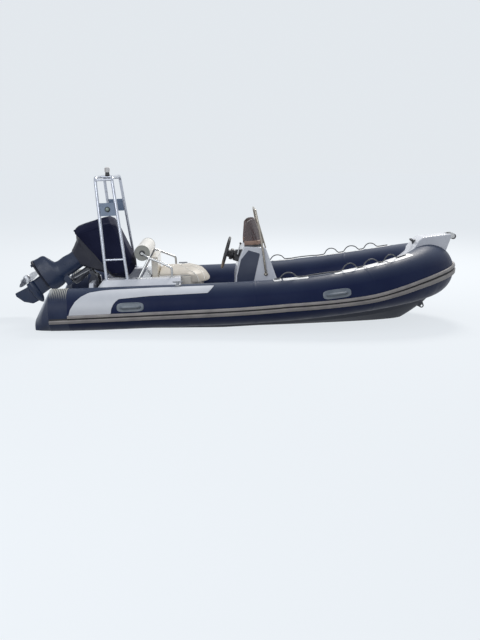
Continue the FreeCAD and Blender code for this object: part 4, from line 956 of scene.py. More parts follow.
across = BENCH_HALF * np.linspace(-1, 1, 41)
bench_plan = np.concatenate([[(1.462, -BENCH_HALF)], np.stack([bench_front(across), across], -1),
                             [(1.462, BENCH_HALF)]])
back_outline = [(1.382, 0.29), (1.4618, 0.29), (1.4618, 0.83), (1.382, 0.83)]
rounded(built("seat_box", [prism(bench_plan, 0.29, BENCH_TOP, 2), prism(back_outline, -0.33, 0.33, 1)],
              cream_gelcoat, replaces=["bench_base"], sharp=180),
        0.012, segments=4)


# The bench cushion: foam in grained beige vinyl, crowned across, that falls away in front in a
# long slope over the bowed face of the bench.
CUSHION_LIP = 0.4955
# the skin over the middle: station x, height
PAD_LINE = np.array([(1.490, 0.668), (1.640, 0.6685), (1.800, 0.668), (1.870, 0.664), (1.916, 0.6535),
                     (1.957, 0.638), (1.996, 0.618), (2.026, 0.598), (2.052, 0.570), (2.074, 0.542),
                     (2.093, 0.514), (2.102, 0.500)])


def pad_section(y):
    """The side view at y: the middle's skin bowed back and lowered towards the ends, square
    behind and flat below."""
    share = abs(y) / BENCH_HALF
    back = 0.155 * share ** 3 * np.clip((PAD_LINE[:, 0] - 1.5) / 0.5, 0, 1)
    down = 0.045 * share ** 2.2 * np.clip((PAD_LINE[:, 1] - 0.602) / 0.066, 0, 1) ** 2
    skin = PAD_LINE - np.stack([back, down], -1) - np.array([0.003, 0.0035])
    wall = float(bench_front(np.array(y))) + 0.0012
    lead = [(1.4655, 0.594), (1.4655, skin[0, 1] - 0.026), (1.474, skin[0, 1] - 0.006)]
    drop = [(skin[-1, 0] - 0.010, CUSHION_LIP), (wall + 0.006, CUSHION_LIP), (wall, 0.503), (wall, 0.594)]
    return np.concatenate([lead, skin, drop])


def grained_vinyl(name, colour, shadow):
    """Fine leather grain with soft creases and a slow change of tone."""
    material, tree, node = shader(name, colour, 0.46, sheen=0.15, specular=0.4)
    worn(tree, node, colour, shadow, scale=5.0, amount=(0.40, 0.78))
    cells = tree.nodes.new("ShaderNodeTexVoronoi")
    cells.inputs["Scale"].default_value = 620.0
    place = tree.nodes.new("ShaderNodeTexCoord")
    tree.links.new(place.outputs["Object"], cells.inputs["Vector"])
    grain = worked(tree, "ADD", cells.outputs["Distance"], noise(tree, 26.0, 5.0))
    bumped(tree, node, grain, 0.22, 0.0010)
    return material


def points_of(mesh):
    """The places of a mesh's points, one row each."""
    flat = np.empty(len(mesh.vertices) * 3)
    mesh.vertices.foreach_get("co", flat)
    return flat.reshape(-1, 3)


def puffed(piece, cap, voxel=0.010):
    """The pad blown up as cloth: remeshed, pressed out for twenty steps, each point held near.
    Returns the piece and the places of its points."""
    scene = bpy.context.scene
    remesh = piece.modifiers.new("even", "REMESH")
    remesh.mode = "VOXEL"
    remesh.voxel_size = voxel
    graph = bpy.context.evaluated_depsgraph_get()
    even = bpy.data.meshes.new_from_object(piece.evaluated_get(graph))
    piece.modifiers.clear()
    material = piece.data.materials[0]
    piece.data = even
    even.materials.clear()
    even.materials.append(material)
    points = points_of(even)
    cloth = piece.modifiers.new("blown", "CLOTH")
    cloth.settings.use_pressure = True
    cloth.settings.uniform_pressure_force = 4.0
    cloth.settings.effector_weights.gravity = 0
    cloth.settings.quality = 4
    cloth.settings.tension_stiffness = 30
    cloth.settings.compression_stiffness = 30
    cloth.settings.bending_stiffness = 1.5
    for step in range(1, 21):
        scene.frame_set(step)
    graph = bpy.context.evaluated_depsgraph_get()
    moved = points_of(piece.evaluated_get(graph).to_mesh()) - points
    piece.evaluated_get(graph).to_mesh_clear()
    piece.modifiers.clear()
    scene.frame_set(1)
    far = np.linalg.norm(moved, axis=1, keepdims=True)
    points = points + moved * np.minimum(1, cap / np.maximum(far, 1e-9))
    return piece, points


def set_points(piece, points):
    """New places for the points, smooth all over, and one subdivision."""
    mesh = piece.data
    mesh.vertices.foreach_set("co", np.asarray(points, float).ravel())
    mesh.polygons.foreach_set("use_smooth", [True] * len(mesh.polygons))
    mesh.update()
    finer = piece.modifiers.new("finer", "SUBSURF")
    finer.levels = 1
    finer.render_levels = 1


def to_level(points):
    """Back from the floating frame to the level one."""
    x = points[..., 0] * math.cos(TRIM) + points[..., 2] * math.sin(TRIM) + ORIGIN_X
    z = -points[..., 0] * math.sin(TRIM) + points[..., 2] * math.cos(TRIM)
    return np.stack([x, points[..., 1], z], -1)


seat_vinyl = grained_vinyl("seat_vinyl", (0.60, 0.55, 0.475), (0.49, 0.445, 0.385))
pad_sections = []
for y in np.concatenate([[-0.4445, -0.441, -0.434, -0.422], np.linspace(-0.405, 0.405, 29),
                         [0.422, 0.434, 0.441, 0.4445]]):
    outline = pad_section(y)
    inset = 0.45 - abs(y)
    share = 1 - 0.10 * max(0.0, 1 - inset / 0.03) ** 2
    heart = np.array([(outline[:, 0].min() + outline[:, 0].max()) / 2, 0.604])
    outline = heart + (outline - heart) * share
    pad_sections.append(np.insert(outline, 1, y, axis=1))
cushion, blown = puffed(built("seat_pad", [lofted(pad_sections)], seat_vinyl,
                              replaces=["bench_cushion"]), 0.008)
blown = to_level(blown)
blown[:, 1] = np.clip(blown[:, 1], -BENCH_HALF - 0.002, BENCH_HALF + 0.002)
wall = bench_front(blown[:, 1])
over_box = blown[:, 0] < wall
blown[over_box, 2] = np.maximum(blown[over_box, 2], 0.5925)
blown[:, 0] = np.where(blown[:, 2] < 0.592, np.maximum(blown[:, 0], wall + 0.0006), blown[:, 0])
blown[:, 0] = np.maximum(blown[:, 0], 1.4635)
set_points(cushion, afloat(blown))


# The cushion's piping: white vinyl cord sewn into the seams. Two seams sweep from the middle of
# the seat to its fore corners, one behind the other, and a third runs along each foot.
PIPING_R = 0.0045
LONG_SEAM = ((1.699, 0.0, 0.668), (1.708, 0.014, 0.668), (1.724, 0.034, 0.668), (1.772, 0.136, 0.665),
             (1.812, 0.245, 0.655), (1.851, 0.338, 0.634), (1.888, 0.376, 0.604), (1.923, 0.397, 0.566),
             (1.958, 0.425, 0.518))
SHORT_SEAM = ((1.852, 0.0, 0.665), (1.860, 0.018, 0.664), (1.874, 0.050, 0.661), (1.896, 0.096, 0.655),
              (1.934, 0.160, 0.632), (1.965, 0.211, 0.601), (1.987, 0.254, 0.571), (2.001, 0.289, 0.547),
              (2.012, 0.331, 0.518))
FOOT_SEAM = ((1.480, 0.4495, 0.603), (1.600, 0.4495, 0.603), (1.720, 0.4495, 0.603), (1.845, 0.4495, 0.603))
white_vinyl = grained_vinyl("piping_vinyl", (0.86, 0.84, 0.80), (0.78, 0.76, 0.72))
pad_tree = BVHTree.FromPolygons(blown.tolist(), [tuple(face.vertices) for face in cushion.data.polygons])


def seam_line(points, steps):
    """Points spread along the seam, set on the pad's skin by rays from outside, a little proud."""
    points = np.asarray(points, float)
    run = np.concatenate([[0], np.cumsum(np.linalg.norm(np.diff(points, axis=0), axis=1))])
    line = []
    for point in eased(run, points, np.linspace(0, run[-1], steps)):
        out = (Vector(point) - Vector((1.80, point[1], 0.45))).normalized()
        place, normal, _, _ = pad_tree.ray_cast(Vector(point) + out * 0.08, -out)
        line.append(np.array(place) + np.array(normal) * 0.0012)
    return np.array(line)


across = np.array([1, -1, 1])
piping = [swept(seam_line(np.concatenate([np.array(seam)[::-1], (np.array(seam) * across)[1:]]), 110),
                PIPING_R, 10) for seam in (LONG_SEAM, SHORT_SEAM)]
piping += both_sides([swept(np.array(FOOT_SEAM) * across, PIPING_R, 10)])
built("seat_piping", piping, white_vinyl)


# The backrest: a bent stainless rail each side that carries the roll between them, braced by
# a strut and bolted down through round feet.
def polished(name, colour, roughness):
    """Polished tube: a bright metal with fine wiping marks and dull salt spots."""
    return weathered(name, colour, tuple(0.72 * value for value in colour), roughness, 22.0, (0.5, 0.8),
                     gloss=(60.0, 3.0, 0.3, 0.75, roughness * 0.7, roughness * 1.8), metallic=1.0)


RAIL_R = 0.014
# where the tubes and their round feet begin, just above the moulding
TUBE_END_Z = MOULD_TOP + 0.0005
FLANGE_Z = MOULD_TOP + 0.0003
ROLL_X = 1.288
ROLL_Z = 0.897
stainless = polished("stainless", (0.52, 0.52, 0.52), 0.16)


def foot(x, y, z, radius, height, steps=28):
    """A turned round foot: rows of radius and height, rounded at its upper edge."""
    a = np.linspace(0, 2 * math.pi, steps, endpoint=False)
    rings = []
    for share, rise in ((1.0, 0.0), (1.0, 0.55), (0.93, 0.88), (0.8, 1.0), (0.3, 1.0)):
        rings.append(np.stack([x + radius * share * np.cos(a), y + radius * share * np.sin(a),
                               np.full(steps, z + height * rise)], -1))
    return lofted(rings)


rail = round_corners([(1.288, -0.506, 0.897), (1.369, -0.506, 0.837), (1.500, -0.520, 0.784),
                      (1.640, -0.565, 0.716), (1.642, -0.570, TUBE_END_Z)], 0.03, 9)
strut = [(1.370, -0.507, 0.836), (1.238, -0.560, TUBE_END_Z)]
roll_pin = [(ROLL_X, -0.53, ROLL_Z), (ROLL_X, -0.476, ROLL_Z)]
built("backrest_rails", both_sides([swept(rail, RAIL_R, 18), swept(strut, RAIL_R, 18),
                                    swept(roll_pin, 0.017, 18),
                                    foot(1.642, -0.570, FLANGE_Z, 0.032, 0.007),
                                    foot(1.238, -0.560, FLANGE_Z, 0.032, 0.007)]),
      stainless, replaces=["backrest_frame"], sharp=50)


# The backrest roll: a long foam cylinder covered in cream vinyl, with its round ends sewn in.
# Like the cushion it is blown up as cloth, and its length is held to that of the foam.
ROLL_R = 0.098
roll_vinyl = grained_vinyl("roll_vinyl", (0.84, 0.825, 0.79), (0.76, 0.735, 0.69))
a = np.linspace(0, 2 * math.pi, 64, endpoint=False)
roll_rings = []
# distance from the middle, share of the radius
for y, share in ((-0.474, 0.12), (-0.4745, 0.80), (-0.472, 0.93), (-0.462, 0.965), (-0.30, 0.97),
                 (0.30, 0.97), (0.462, 0.965), (0.472, 0.93), (0.4745, 0.80), (0.474, 0.12)):
    roll_rings.append(np.stack([ROLL_X + ROLL_R * share * np.cos(a), np.full(64, y),
                                ROLL_Z + ROLL_R * share * np.sin(a)], -1))
roll, blown = puffed(built("back_roll", [lofted(roll_rings)], roll_vinyl,
                           replaces=["backrest_roll"]), 0.006, voxel=0.008)
blown = to_level(blown)
blown[:, 1] = np.clip(blown[:, 1], -0.479, 0.479)
set_points(roll, afloat(blown))


# The roll's end caps: a disc of vinyl sewn into each end of the roll, a darker grey-beige than
# the roll as painted shade, and a black plastic collar round the rail.
# Painted shade: the end discs are a darker grey-beige than the roll's cream vinyl.
shaded_cap_vinyl = grained_vinyl("roll_cap_vinyl", (0.40, 0.40, 0.36), (0.32, 0.32, 0.29))
black_plastic = weathered("black_plastic", (0.022, 0.022, 0.026), (0.060, 0.060, 0.065), 0.45, 18.0,
                          grain=(380.0, 2.0, 0.12, 0.0005))


def turned(profile, origin, axis, up=(0, 0, 1), steps=48):
    """A profile of (distance along the axis, radius) rows carried once round the axis."""
    axis = np.asarray(axis, float) / np.linalg.norm(axis)
    across = np.cross(axis, up)
    across /= np.linalg.norm(across)
    over = np.cross(across, axis)
    a = np.linspace(0, 2 * math.pi, steps, endpoint=False)[None, :, None]
    profile = np.asarray(profile, float)
    spokes = across * np.cos(a) + over * np.sin(a)
    rings = np.asarray(origin, float) + axis * profile[:, :1, None] + spokes * profile[:, 1:, None]
    return lofted(rings)


cap_disc = turned([(-0.4775, 0.05), (-0.4805, 0.084), (-0.4815, 0.090), (-0.4805, 0.0945),
                   (-0.474, 0.0955)], (ROLL_X, 0, ROLL_Z), (0, 1, 0))
face_disc = turned([(-0.476, 0.088), (-0.4805, 0.086), (-0.4825, 0.06), (-0.4832, 0.01)],
                   (ROLL_X, 0, ROLL_Z), (0, 1, 0))
built("roll_caps", both_sides([cap_disc, face_disc]), shaded_cap_vinyl)
black_ring = turned([(-0.482, 0.034), (-0.4870, 0.034), (-0.4885, 0.031), (-0.4885, 0.018)],
                    (ROLL_X, 0, ROLL_Z), (0, 1, 0))
built("roll_collars", both_sides([black_ring]), black_plastic)


# The stern arch: two hoops of polished tube on round feet, joined by rungs and by a bar along
# the middle of the top that carries the masthead lamp.
ARCH_R = 0.019
ARCH_TOP = 1.812
# foot x, top x
HOOPS = ((0.852, 0.774), (1.104, 0.972))
# distance from the middle at the foot and at the top
POST_Y = (0.575, 0.440)


def leaning(ends, z):
    """Where a post stands at that height, from where it is at its foot and at its top."""
    return ends[0] + (ends[1] - ends[0]) * (z - MOULD_TOP) / (ARCH_TOP - MOULD_TOP)


arch_parts = []
foot_y, top_y = POST_Y
for foot_x, top_x in HOOPS:
    path = round_corners([(foot_x, -foot_y, TUBE_END_Z), (top_x, -top_y, ARCH_TOP),
                          (top_x, top_y, ARCH_TOP), (foot_x, foot_y, TUBE_END_Z)], 0.07, 12)
    arch_parts.append(swept(path, ARCH_R, 22))
    arch_parts += both_sides([foot(foot_x, -foot_y, FLANGE_Z, 0.036, 0.008)])
for z, radius, inboard in ((0.838, 0.012, 0.0), (1.786, 0.012, 0.011)):
    ends = [(leaning(feet, z), -leaning(POST_Y, z) + inboard, z) for feet in HOOPS]
    arch_parts += both_sides([swept(ends, radius, 16)])
arch_parts.append(swept([(0.774, 0, ARCH_TOP), (0.972, 0, ARCH_TOP)], 0.014, 16))
# Painted reflection: this steel is tinted bluer than plain stainless, for the sky it reflects.
arch_steel = polished("arch_steel", (0.50, 0.52, 0.58), 0.2)
built("stern_arch", arch_parts, arch_steel, replaces=["arch_frame"], sharp=50)


# The lamp plates: painted sheet let in between the two posts of the arch on each side. Each
# carries a side light on its outer face.
PLATE_Z = (1.36, 1.514)
plate_paint = weathered("plate_paint", (0.21, 0.28, 0.40), (0.15, 0.21, 0.31), 0.34, 7.0)
finish(["arch_plate_starboard", "arch_plate_port"], plate_paint)


# The side lights: a round housing in black plastic on the outer face of each lamp plate, with
# a domed lens set into it, green to starboard and red to port.
def lamp_lens(name, colour):
    return weathered(name, colour, tuple(0.6 * value for value in colour), 0.12, 60.0, coat=0.5,
                     transmission=0.35)


def lamp_place(side):
    """The middle of a plate and the way its outer face looks."""
    z = sum(PLATE_Z) / 2
    slope = (POST_Y[1] - POST_Y[0]) / (ARCH_TOP - MOULD_TOP)
    look = np.array([0.0, side, -slope])
    look /= np.linalg.norm(look)
    x = (leaning(HOOPS[0], z) + leaning(HOOPS[1], z)) / 2
    return np.array([x, side * leaning(POST_Y, z), z]), look


for side, word, colour in ((STARBOARD, "starboard", (0.42, 0.52, 0.47)),
                           (PORT, "port", (0.42, 0.022, 0.022))):
    middle, look = lamp_place(side)
    housing = turned([(0.0053, 0.0315), (0.0165, 0.0315), (0.0205, 0.0292), (0.0213, 0.0265),
                      (0.0188, 0.0255), (0.0183, 0.004)], middle, look)
    lens = turned([(0.0186, 0.0245), (0.0260, 0.0238), (0.0310, 0.0205), (0.0338, 0.0150),
                   (0.0350, 0.0080), (0.0353, 0.001)], middle, look)
    built(f"lamp_housing_{word}", [housing], black_plastic, sharp=40)
    built(f"lamp_lens_{word}", [lens], lamp_lens(f"lens_{word}", colour),
          replaces=[f"side_light_{word}"])


# The masthead lamp: a foot in black plastic on the arch's top bar, and on it a clear plastic
# lens with moulded ribs, closed by a small cap.
MAST = (0.872, 0.0, 1.8263)
finish(["masthead_light_base"], black_plastic)
clear_lens = weathered("clear_lens", (0.88, 0.87, 0.86), (0.74, 0.64, 0.62), 0.1, 45.0, (0.5, 0.7),
                       coat=0.4, transmission=0.15)
ribs = [(0.0425 + i * 0.0042, 0.0325 if i % 2 else 0.0338) for i in range(13)]
lens_profile = [(0.0424, 0.012), (0.0424, 0.0325)] + ribs + [(0.0975, 0.031), (0.1015, 0.0265),
                                                            (0.1035, 0.018), (0.1040, 0.002)]
built("mast_lens", [turned(lens_profile, MAST, (0, 0, 1), up=(0, 1, 0))], clear_lens,
      replaces=["masthead_light_lens"], sharp=70)


# The console: a white moulded pedestal, a little narrower at its top, with a sloping back and
# front and softly radiused edges.
def console_half(z):
    return 0.331 - 0.036 * (z - 0.29) / 0.71


console_line = np.array([(2.398, 0.290), (2.412, 0.540), (2.462, 0.764), (2.526, 0.906),
                         (2.545, 0.909), (2.770, 0.890), (2.800, 0.876), (2.915, 0.522),
                         (2.988, 0.290)])
console_sides = [np.insert(console_line, 1, side * console_half(console_line[:, 1]), axis=1)
                 for side in (-1, 1)]
rounded(built("console_body", [lofted(console_sides)], white_gelcoat, replaces=["console"],
              sharp=180), 0.022, segments=5, angle=24)


# The console's side panels: flat navy boards 3 mm thick with rounded corners, laid on both
# sides of the moulding and screwed to it.
def rounded_outline(points, bend, steps=5):
    """A closed outline with an arc of the bend radius at each corner."""
    points = np.asarray(points, float)
    around = np.concatenate([points[-1:], points, points[:1]])
    return round_corners(around, bend, steps)[1:-1]


navy_board = weathered("navy_panel", (0.034, 0.045, 0.088), (0.056, 0.069, 0.115), 0.33, 4.0,
                       grain=(240.0, 3.0, 0.08, 0.0005), coat=0.15)
board_line = rounded_outline([(2.582, 0.862), (2.722, 0.815), (2.622, 0.420), (2.422, 0.420),
                              (2.430, 0.552), (2.486, 0.752)], 0.014)
board_faces = [np.insert(board_line, 1, -console_half(board_line[:, 1]) - lift, axis=1)
               for lift in (0.0003, 0.0033)]
rounded(built("console_boards", both_sides([lofted(board_faces)]), navy_board,
              replaces=["console_panels"], sharp=180), 0.001, segments=2)


# The windscreen's foot: a black rubber band on the console with a tan padded rail above it,
# both bent round the front in the screen's plan.
def screen_plan(offset):
    """The screen's outline from above, that far inside its outer face."""
    half = 0.281 - offset
    fore = 2.762 - offset
    corners = [(2.534, -half), (2.640, -half), (fore - 0.06, -half + 0.03), (fore, -half + 0.12),
               (fore, half - 0.12), (fore - 0.06, half - 0.03), (2.640, half), (2.534, half)]
    return round_corners(corners, 0.045, 7)


def plan_band(section):
    """Rows of (offset inward, height) carried round the screen's plan."""
    rings = [np.insert(screen_plan(offset), 2, z, axis=1) for offset, z in section]
    return lofted(np.array(rings).transpose(1, 0, 2))


tan_pad = grained_vinyl("screen_base", (0.42, 0.275, 0.215), (0.33, 0.21, 0.165))
black_rubber = weathered("black_rubber", (0.030, 0.030, 0.034), (0.075, 0.075, 0.082), 0.5, 12.0,
                         grain=(300.0, 3.0, 0.15, 0.0006))
tan_section = [(-0.0005, 0.9225), (-0.0040, 0.927), (-0.0052, 0.948), (-0.0038, 0.968), (-0.001, 0.9745),
               (0.010, 0.9749), (0.0165, 0.972), (0.0178, 0.928), (0.015, 0.9225)]
black_section = [(-0.002, 0.868), (-0.0028, 0.916), (0.0, 0.9215), (0.012, 0.9215), (0.0165, 0.916),
                 (0.0165, 0.868)]
built("screen_pad", [plan_band(tan_section)], tan_pad, replaces=["windscreen_base"], sharp=60)
built("screen_seal", [plan_band(black_section)], black_rubber, sharp=50)


# The windscreen: one sheet of smoked acrylic bent round the front, leaning aft, its upper aft
# corners cut to a quarter round and its edge polished.
SCREEN_FOOT = 0.9753
SCREEN_TOP = 1.232
SCREEN_CORNER = (0.112, 0.082)
SCREEN_HEART = (2.662, 1.150)
SCREEN_STEPS = 24


def leaned(plan):
    """Where each plan point has moved to at the screen's top."""
    x = np.where(plan[:, 0] < 2.641, 2.560 + (plan[:, 0] - 2.534) * 0.55, plan[:, 0] - 0.082)
    return np.stack([x, plan[:, 1] * 0.9], -1)


def screen_sheet():
    """Each row of the ring runs up the outer face and down the inner one, as high as the cut is."""
    rings = []
    for offset in (0.002, 0.007):
        plan = screen_plan(offset)
        whole = [plan[0]]
        for start, end in zip(plan, plan[1:]):
            parts = max(1, int(np.linalg.norm(end - start) / 0.012))
            for i in range(1, parts + 1):
                whole.append(start + (end - start) * i / parts)
        rings.append(np.array(whole))
    count = min(len(ring) for ring in rings)
    even = []
    for ring in rings:
        pick = np.linspace(0, len(ring) - 1, count)
        even.append(np.stack([np.interp(pick, np.arange(len(ring)), ring[:, i]) for i in (0, 1)], -1))
    outer, inner = even
    top = leaned(outer)
    share = np.linspace(0, 1, 300)
    x = outer[:, :1] + (top[:, :1] - outer[:, :1]) * share
    z = SCREEN_FOOT + (SCREEN_TOP - SCREEN_FOOT) * share[None, :]
    off_x = SCREEN_HEART[0] - x
    off_z = z - SCREEN_HEART[1]
    cut = (off_x > 0) & (off_z > 0) & ((off_x / SCREEN_CORNER[0]) ** 2 + (off_z / SCREEN_CORNER[1]) ** 2 > 1)
    reach = np.where(cut.any(1), share[np.argmax(cut, 1)], 1.0)
    rise = np.linspace(0, 1, SCREEN_STEPS)[None, :] * reach[:, None]
    faces = []
    for ring in (outer, inner):
        high = leaned(ring)
        flat = ring[:, None] + (high - ring)[:, None] * rise[..., None]
        height = SCREEN_FOOT + (SCREEN_TOP - SCREEN_FOOT) * rise
        faces.append(np.concatenate([flat, height[..., None]], 2))
    return lofted(np.concatenate([faces[0], faces[1][:, ::-1]], 1))


smoked = weathered("tinted_screen", (0.235, 0.175, 0.180), (0.31, 0.26, 0.24), 0.07, 2.5, (0.5, 0.8),
                   coat=0.2, ior=1.49, transmission=0.62)
screen = built("screen", [screen_sheet()], smoked, replaces=["windscreen"], sharp=50)
# Painted highlight: the faces along the sheet's top edge take a pale colour for the line of light the edge
# shows.
edge_highlight_finish, _, _ = shader("screen_edge", (0.55, 0.50, 0.49), 0.3)
second_finish(screen, edge_highlight_finish, 2 * SCREEN_STEPS, SCREEN_STEPS - 1)


# The console rail: one hoop of polished tube in front of the screen, held by discs on the
# console's sides and steadied by two thin struts.
HOOP_R = 0.0125
hoop_side = [(2.788, 0.338, 0.560), (2.754, 0.338, 0.895), (2.708, 0.328, 1.208),
             (2.684, 0.298, 1.348)]
hoop_corners = [(x, -y, z) for x, y, z in hoop_side] + hoop_side[::-1]
hoop_parts = [swept(round_corners(hoop_corners, 0.026, 9), HOOP_R, 20)]
hoop_foot = [(2.788, -0.338, 0.560), (2.788, -console_half(0.56) - 0.0003, 0.560)]
hoop_parts += both_sides([
    swept([(2.704, -0.324, 1.238), (2.796, -console_half(0.905) + 0.030, 0.880)], 0.009, 14),
    swept(hoop_foot, HOOP_R, 16),
    turned([(0.0003, 0.024), (0.004, 0.024), (0.0062, 0.021), (0.0065, 0.012)],
           (2.788, -console_half(0.56), 0.560), (0, -1, 0)),
    turned([(-0.002, 0.0125), (0.003, 0.0150), (0.008, 0.0138), (0.011, 0.006)],
           (2.788, -0.346, 0.556), (0, -1, 0))])
# Painted reflection: this steel is darker and warmer than plain stainless, for the surroundings it reflects.
rail_steel = polished("rail_steel", (0.38, 0.345, 0.30), 0.24)
built("console_hoop", hoop_parts, rail_steel, replaces=["console_rail"], sharp=50)


# The helm: a black moulded column from the console's sloping back to the wheel, with a bezel
# where it meets the console and a steel spindle.
WHEEL_HEART = np.array([2.307, 0.0, 0.812])
WHEEL_R = 0.194
WHEEL_LEAN = math.radians(17.5)
WHEEL_AXIS = np.array([-math.cos(WHEEL_LEAN), 0.0, math.sin(WHEEL_LEAN)])
column_line = [(-0.0222, 0.012), (-0.0222, 0.040), (-0.027, 0.046), (-0.048, 0.047), (-0.051, 0.062),
               (-0.058, 0.070), (-0.086, 0.071), (-0.092, 0.066), (-0.094, 0.056), (-0.102, 0.056),
               (-0.104, 0.066), (-0.110, 0.071), (-0.160, 0.072), (-0.235, 0.072)]
built("helm_column", [turned(column_line, WHEEL_HEART, WHEEL_AXIS, up=(0, 1, 0))], black_plastic,
      replaces=["helm"], sharp=40)
built("helm_spindle", [turned([(-0.030, 0.009), (0.0105, 0.009), (0.012, 0.007), (0.012, 0.001)],
                              WHEEL_HEART, WHEEL_AXIS, up=(0, 1, 0), steps=20)], stainless,
      sharp=40)


# The steering wheel: a rim covered in black rubber with finger waves on its inner side, three
# flat spokes and a dished hub. It turns on the helm's axis.
def wheel_point(radius, angle, rise):
    """A point by distance from the axis, angle round it and distance along it."""
    across = np.array([0.0, 1.0, 0.0])
    over = np.cross(WHEEL_AXIS, across)
    return (WHEEL_HEART + radius[..., None] * (across * np.cos(angle)[..., None]
                                               + over * np.sin(angle)[..., None])
            + rise[..., None] * WHEEL_AXIS)


def rim_part():
    """A tube of a slightly waving radius carried once round the axis."""
    angle = np.linspace(0, 2 * math.pi, 160, endpoint=False)[:, None]
    around = np.linspace(0, 2 * math.pi, 18, endpoint=False)[None, :]
    waved = 0.0146 - 0.0016 * np.clip(np.cos(angle * 30), -0.2, 1) * np.clip(-np.cos(around), 0, 1)
    rows = wheel_point(WHEEL_R + waved * np.cos(around), angle + 0 * around, waved * np.sin(around))
    return lofted(rows, ring=True)


def spoke_part(degrees):
    """An oval bar from the hub to the rim, waisted in its middle and dished a little."""
    reach = np.linspace(0.026, 0.192, 14)
    share = (reach - 0.026) / 0.166
    wide = 0.0135 - 0.004 * np.sin(share * math.pi)
    around = np.linspace(0, 2 * math.pi, 16, endpoint=False)
    side = wide[:, None] * np.cos(around)
    radius = np.hypot(reach[:, None], side)
    angle = math.radians(degrees) + np.arctan2(side, reach[:, None])
    rise = 0.0065 * np.sin(around)[None, :] - 0.003 * np.sin(share * math.pi)[:, None]
    return lofted(wheel_point(radius, angle, rise))


wheel_rubber, tree, node = shader("wheel_rubber", (0.022, 0.022, 0.026), 0.48)
worn(tree, node, (0.022, 0.022, 0.026), (0.052, 0.052, 0.058), scale=30.0)
plain = node.inputs["Base Color"].links[0].from_socket
faded = ranged(tree, object_place(tree)["Z"], 0.735, 0.690)
tree.links.new(mixed(tree, faded, plain, (0.20, 0.15, 0.11)), node.inputs["Base Color"])
bumped(tree, node, noise(tree, 700.0, 2.0), 0.2, 0.0004)
hub_line = [(-0.016, 0.0095), (-0.016, 0.036), (-0.012, 0.040), (0.006, 0.040), (0.014, 0.036),
            (0.018, 0.026), (0.0198, 0.012), (0.020, 0.001)]
wheel_parts = [rim_part(), turned(hub_line, WHEEL_HEART, WHEEL_AXIS, up=(0, 1, 0))]
wheel_parts += [spoke_part(degrees) for degrees in (90, 210, 330)]
built("wheel", wheel_parts, wheel_rubber, body="steering_wheel", replaces=["steering_wheel"],
      sharp=50)


# The throttle: a black side box on the console's back with a round boss, a steel lever and a
# cross handle.
box_line = [(2.412, 0.730), (2.520, 0.730), (2.520, 0.866), (2.440, 0.866), (2.412, 0.846)]
rounded(built("throttle_case", [prism(box_line, -0.232, -0.168, 1)], black_plastic,
              replaces=["throttle_box"], sharp=180), 0.007)
boss = turned([(0.0, 0.024), (0.018, 0.024), (0.0215, 0.021), (0.022, 0.006)],
              (2.448, -0.232, 0.812), (0, -1, 0), steps=32)
grip = turned([(0.0, 0.004), (0.002, 0.0105), (0.006, 0.0128), (0.049, 0.0130), (0.053, 0.0105),
               (0.055, 0.004)], (2.488, -0.215, 0.944), (0, -1, 0), steps=28)
built("throttle_grip", [boss, grip], black_plastic, sharp=50)
built("throttle_lever", [swept([(2.448, -0.248, 0.812), (2.466, -0.2482, 0.876), (2.488, -0.248, 0.942)],
                               (0.0095, 0.0080, 0.0075), 14)], stainless)


# The bow step: a white moulded platform saddled over the nose of the collar, its back sloping
# up from the deck and its top running out over the stem to the roller.
# station x, half-width, underside height
STEP_PLAN = np.array(((4.460, 0.262, 0.470), (4.610, 0.235, 0.490), (4.728, 0.188, 0.500),
                      (4.786, 0.174, 0.510), (5.077, 0.136, 0.730), (5.147, 0.122, 0.900)))
STEP_LINE = [(4.460, 0.600), (4.610, 0.735), (4.728, 0.888), (4.786, 0.924), (5.077, 0.944),
             (5.147, 0.946)]
STEP_EDGE = 0.016


def step_rings():
    """Sections with rounded shoulders; the fore end curls over in its last rows."""
    line = round_corners(STEP_LINE, 0.05, 7)
    x = np.linspace(4.460, 5.147, 60)
    x = np.concatenate([x[:-1], [5.1390, 5.1425, 5.1455, 5.1470]])
    x.sort()
    top = np.interp(x, line[:, 0], line[:, 1])
    nose = np.clip((x - 5.133) / 0.014, 0, 1)
    top = top - 0.012 * (1 - np.sqrt(np.clip(1 - nose ** 2, 0, 1)))
    half = np.interp(x, STEP_PLAN[:, 0], STEP_PLAN[:, 1]) - 0.004 * nose ** 2
    low = np.interp(x, STEP_PLAN[:, 0], STEP_PLAN[:, 2]) + 0.01 * nose ** 2
    turn = np.radians(np.linspace(0, 90, 7))
    rings = []
    for row, half_w, z0, z1 in zip(x, half, low, top):
        edge = min(STEP_EDGE, (z1 - z0) / 2.5)
        right = np.stack([half_w - edge + edge * np.cos(turn), z1 - edge + edge * np.sin(turn)], -1)
        side = np.array([(half_w - 0.006, z0), (half_w, z0 + 0.006)])
        section = np.concatenate([side, right])
        section = np.concatenate([section, (section * np.array([-1, 1]))[::-1]])
        rings.append(np.insert(section, 0, row, axis=1))
    return rings


built("bow_platform", [lofted(step_rings())], white_gelcoat, replaces=["bow_step"], sharp=42)


# The roller bracket: two stainless cheeks under the platform's end. The roller's pin goes
# through both of them, with a washer outside each.
cheek = [(5.073, 0.941), (5.143, 0.957), (5.186, 0.957), (5.213, 0.934), (5.213, 0.896),
         (5.194, 0.887), (5.162, 0.890), (5.143, 0.915), (5.073, 0.915)]
ROLLER_HEART = (5.198, 0.0, 0.908)
cheek_line = rounded_outline(cheek, 0.005, 4)
pin_line = [(-0.055, 0.001), (-0.055, 0.0058), (-0.0538, 0.007), (0.0538, 0.007), (0.055, 0.0058),
            (0.055, 0.001)]
washers = [turned([(0.0512, 0.013), (0.0525, 0.013), (0.0532, 0.012), (0.0532, 0.006)],
                  ROLLER_HEART, (0, side, 0), steps=24) for side in (-1, 1)]
built("roller_cheeks", [prism(cheek_line, -0.051, -0.046, 1), prism(cheek_line, 0.046, 0.051, 1),
                        turned(pin_line, ROLLER_HEART, (0, 1, 0), steps=28)] + washers,
      stainless, replaces=["roller_bracket"], sharp=40)


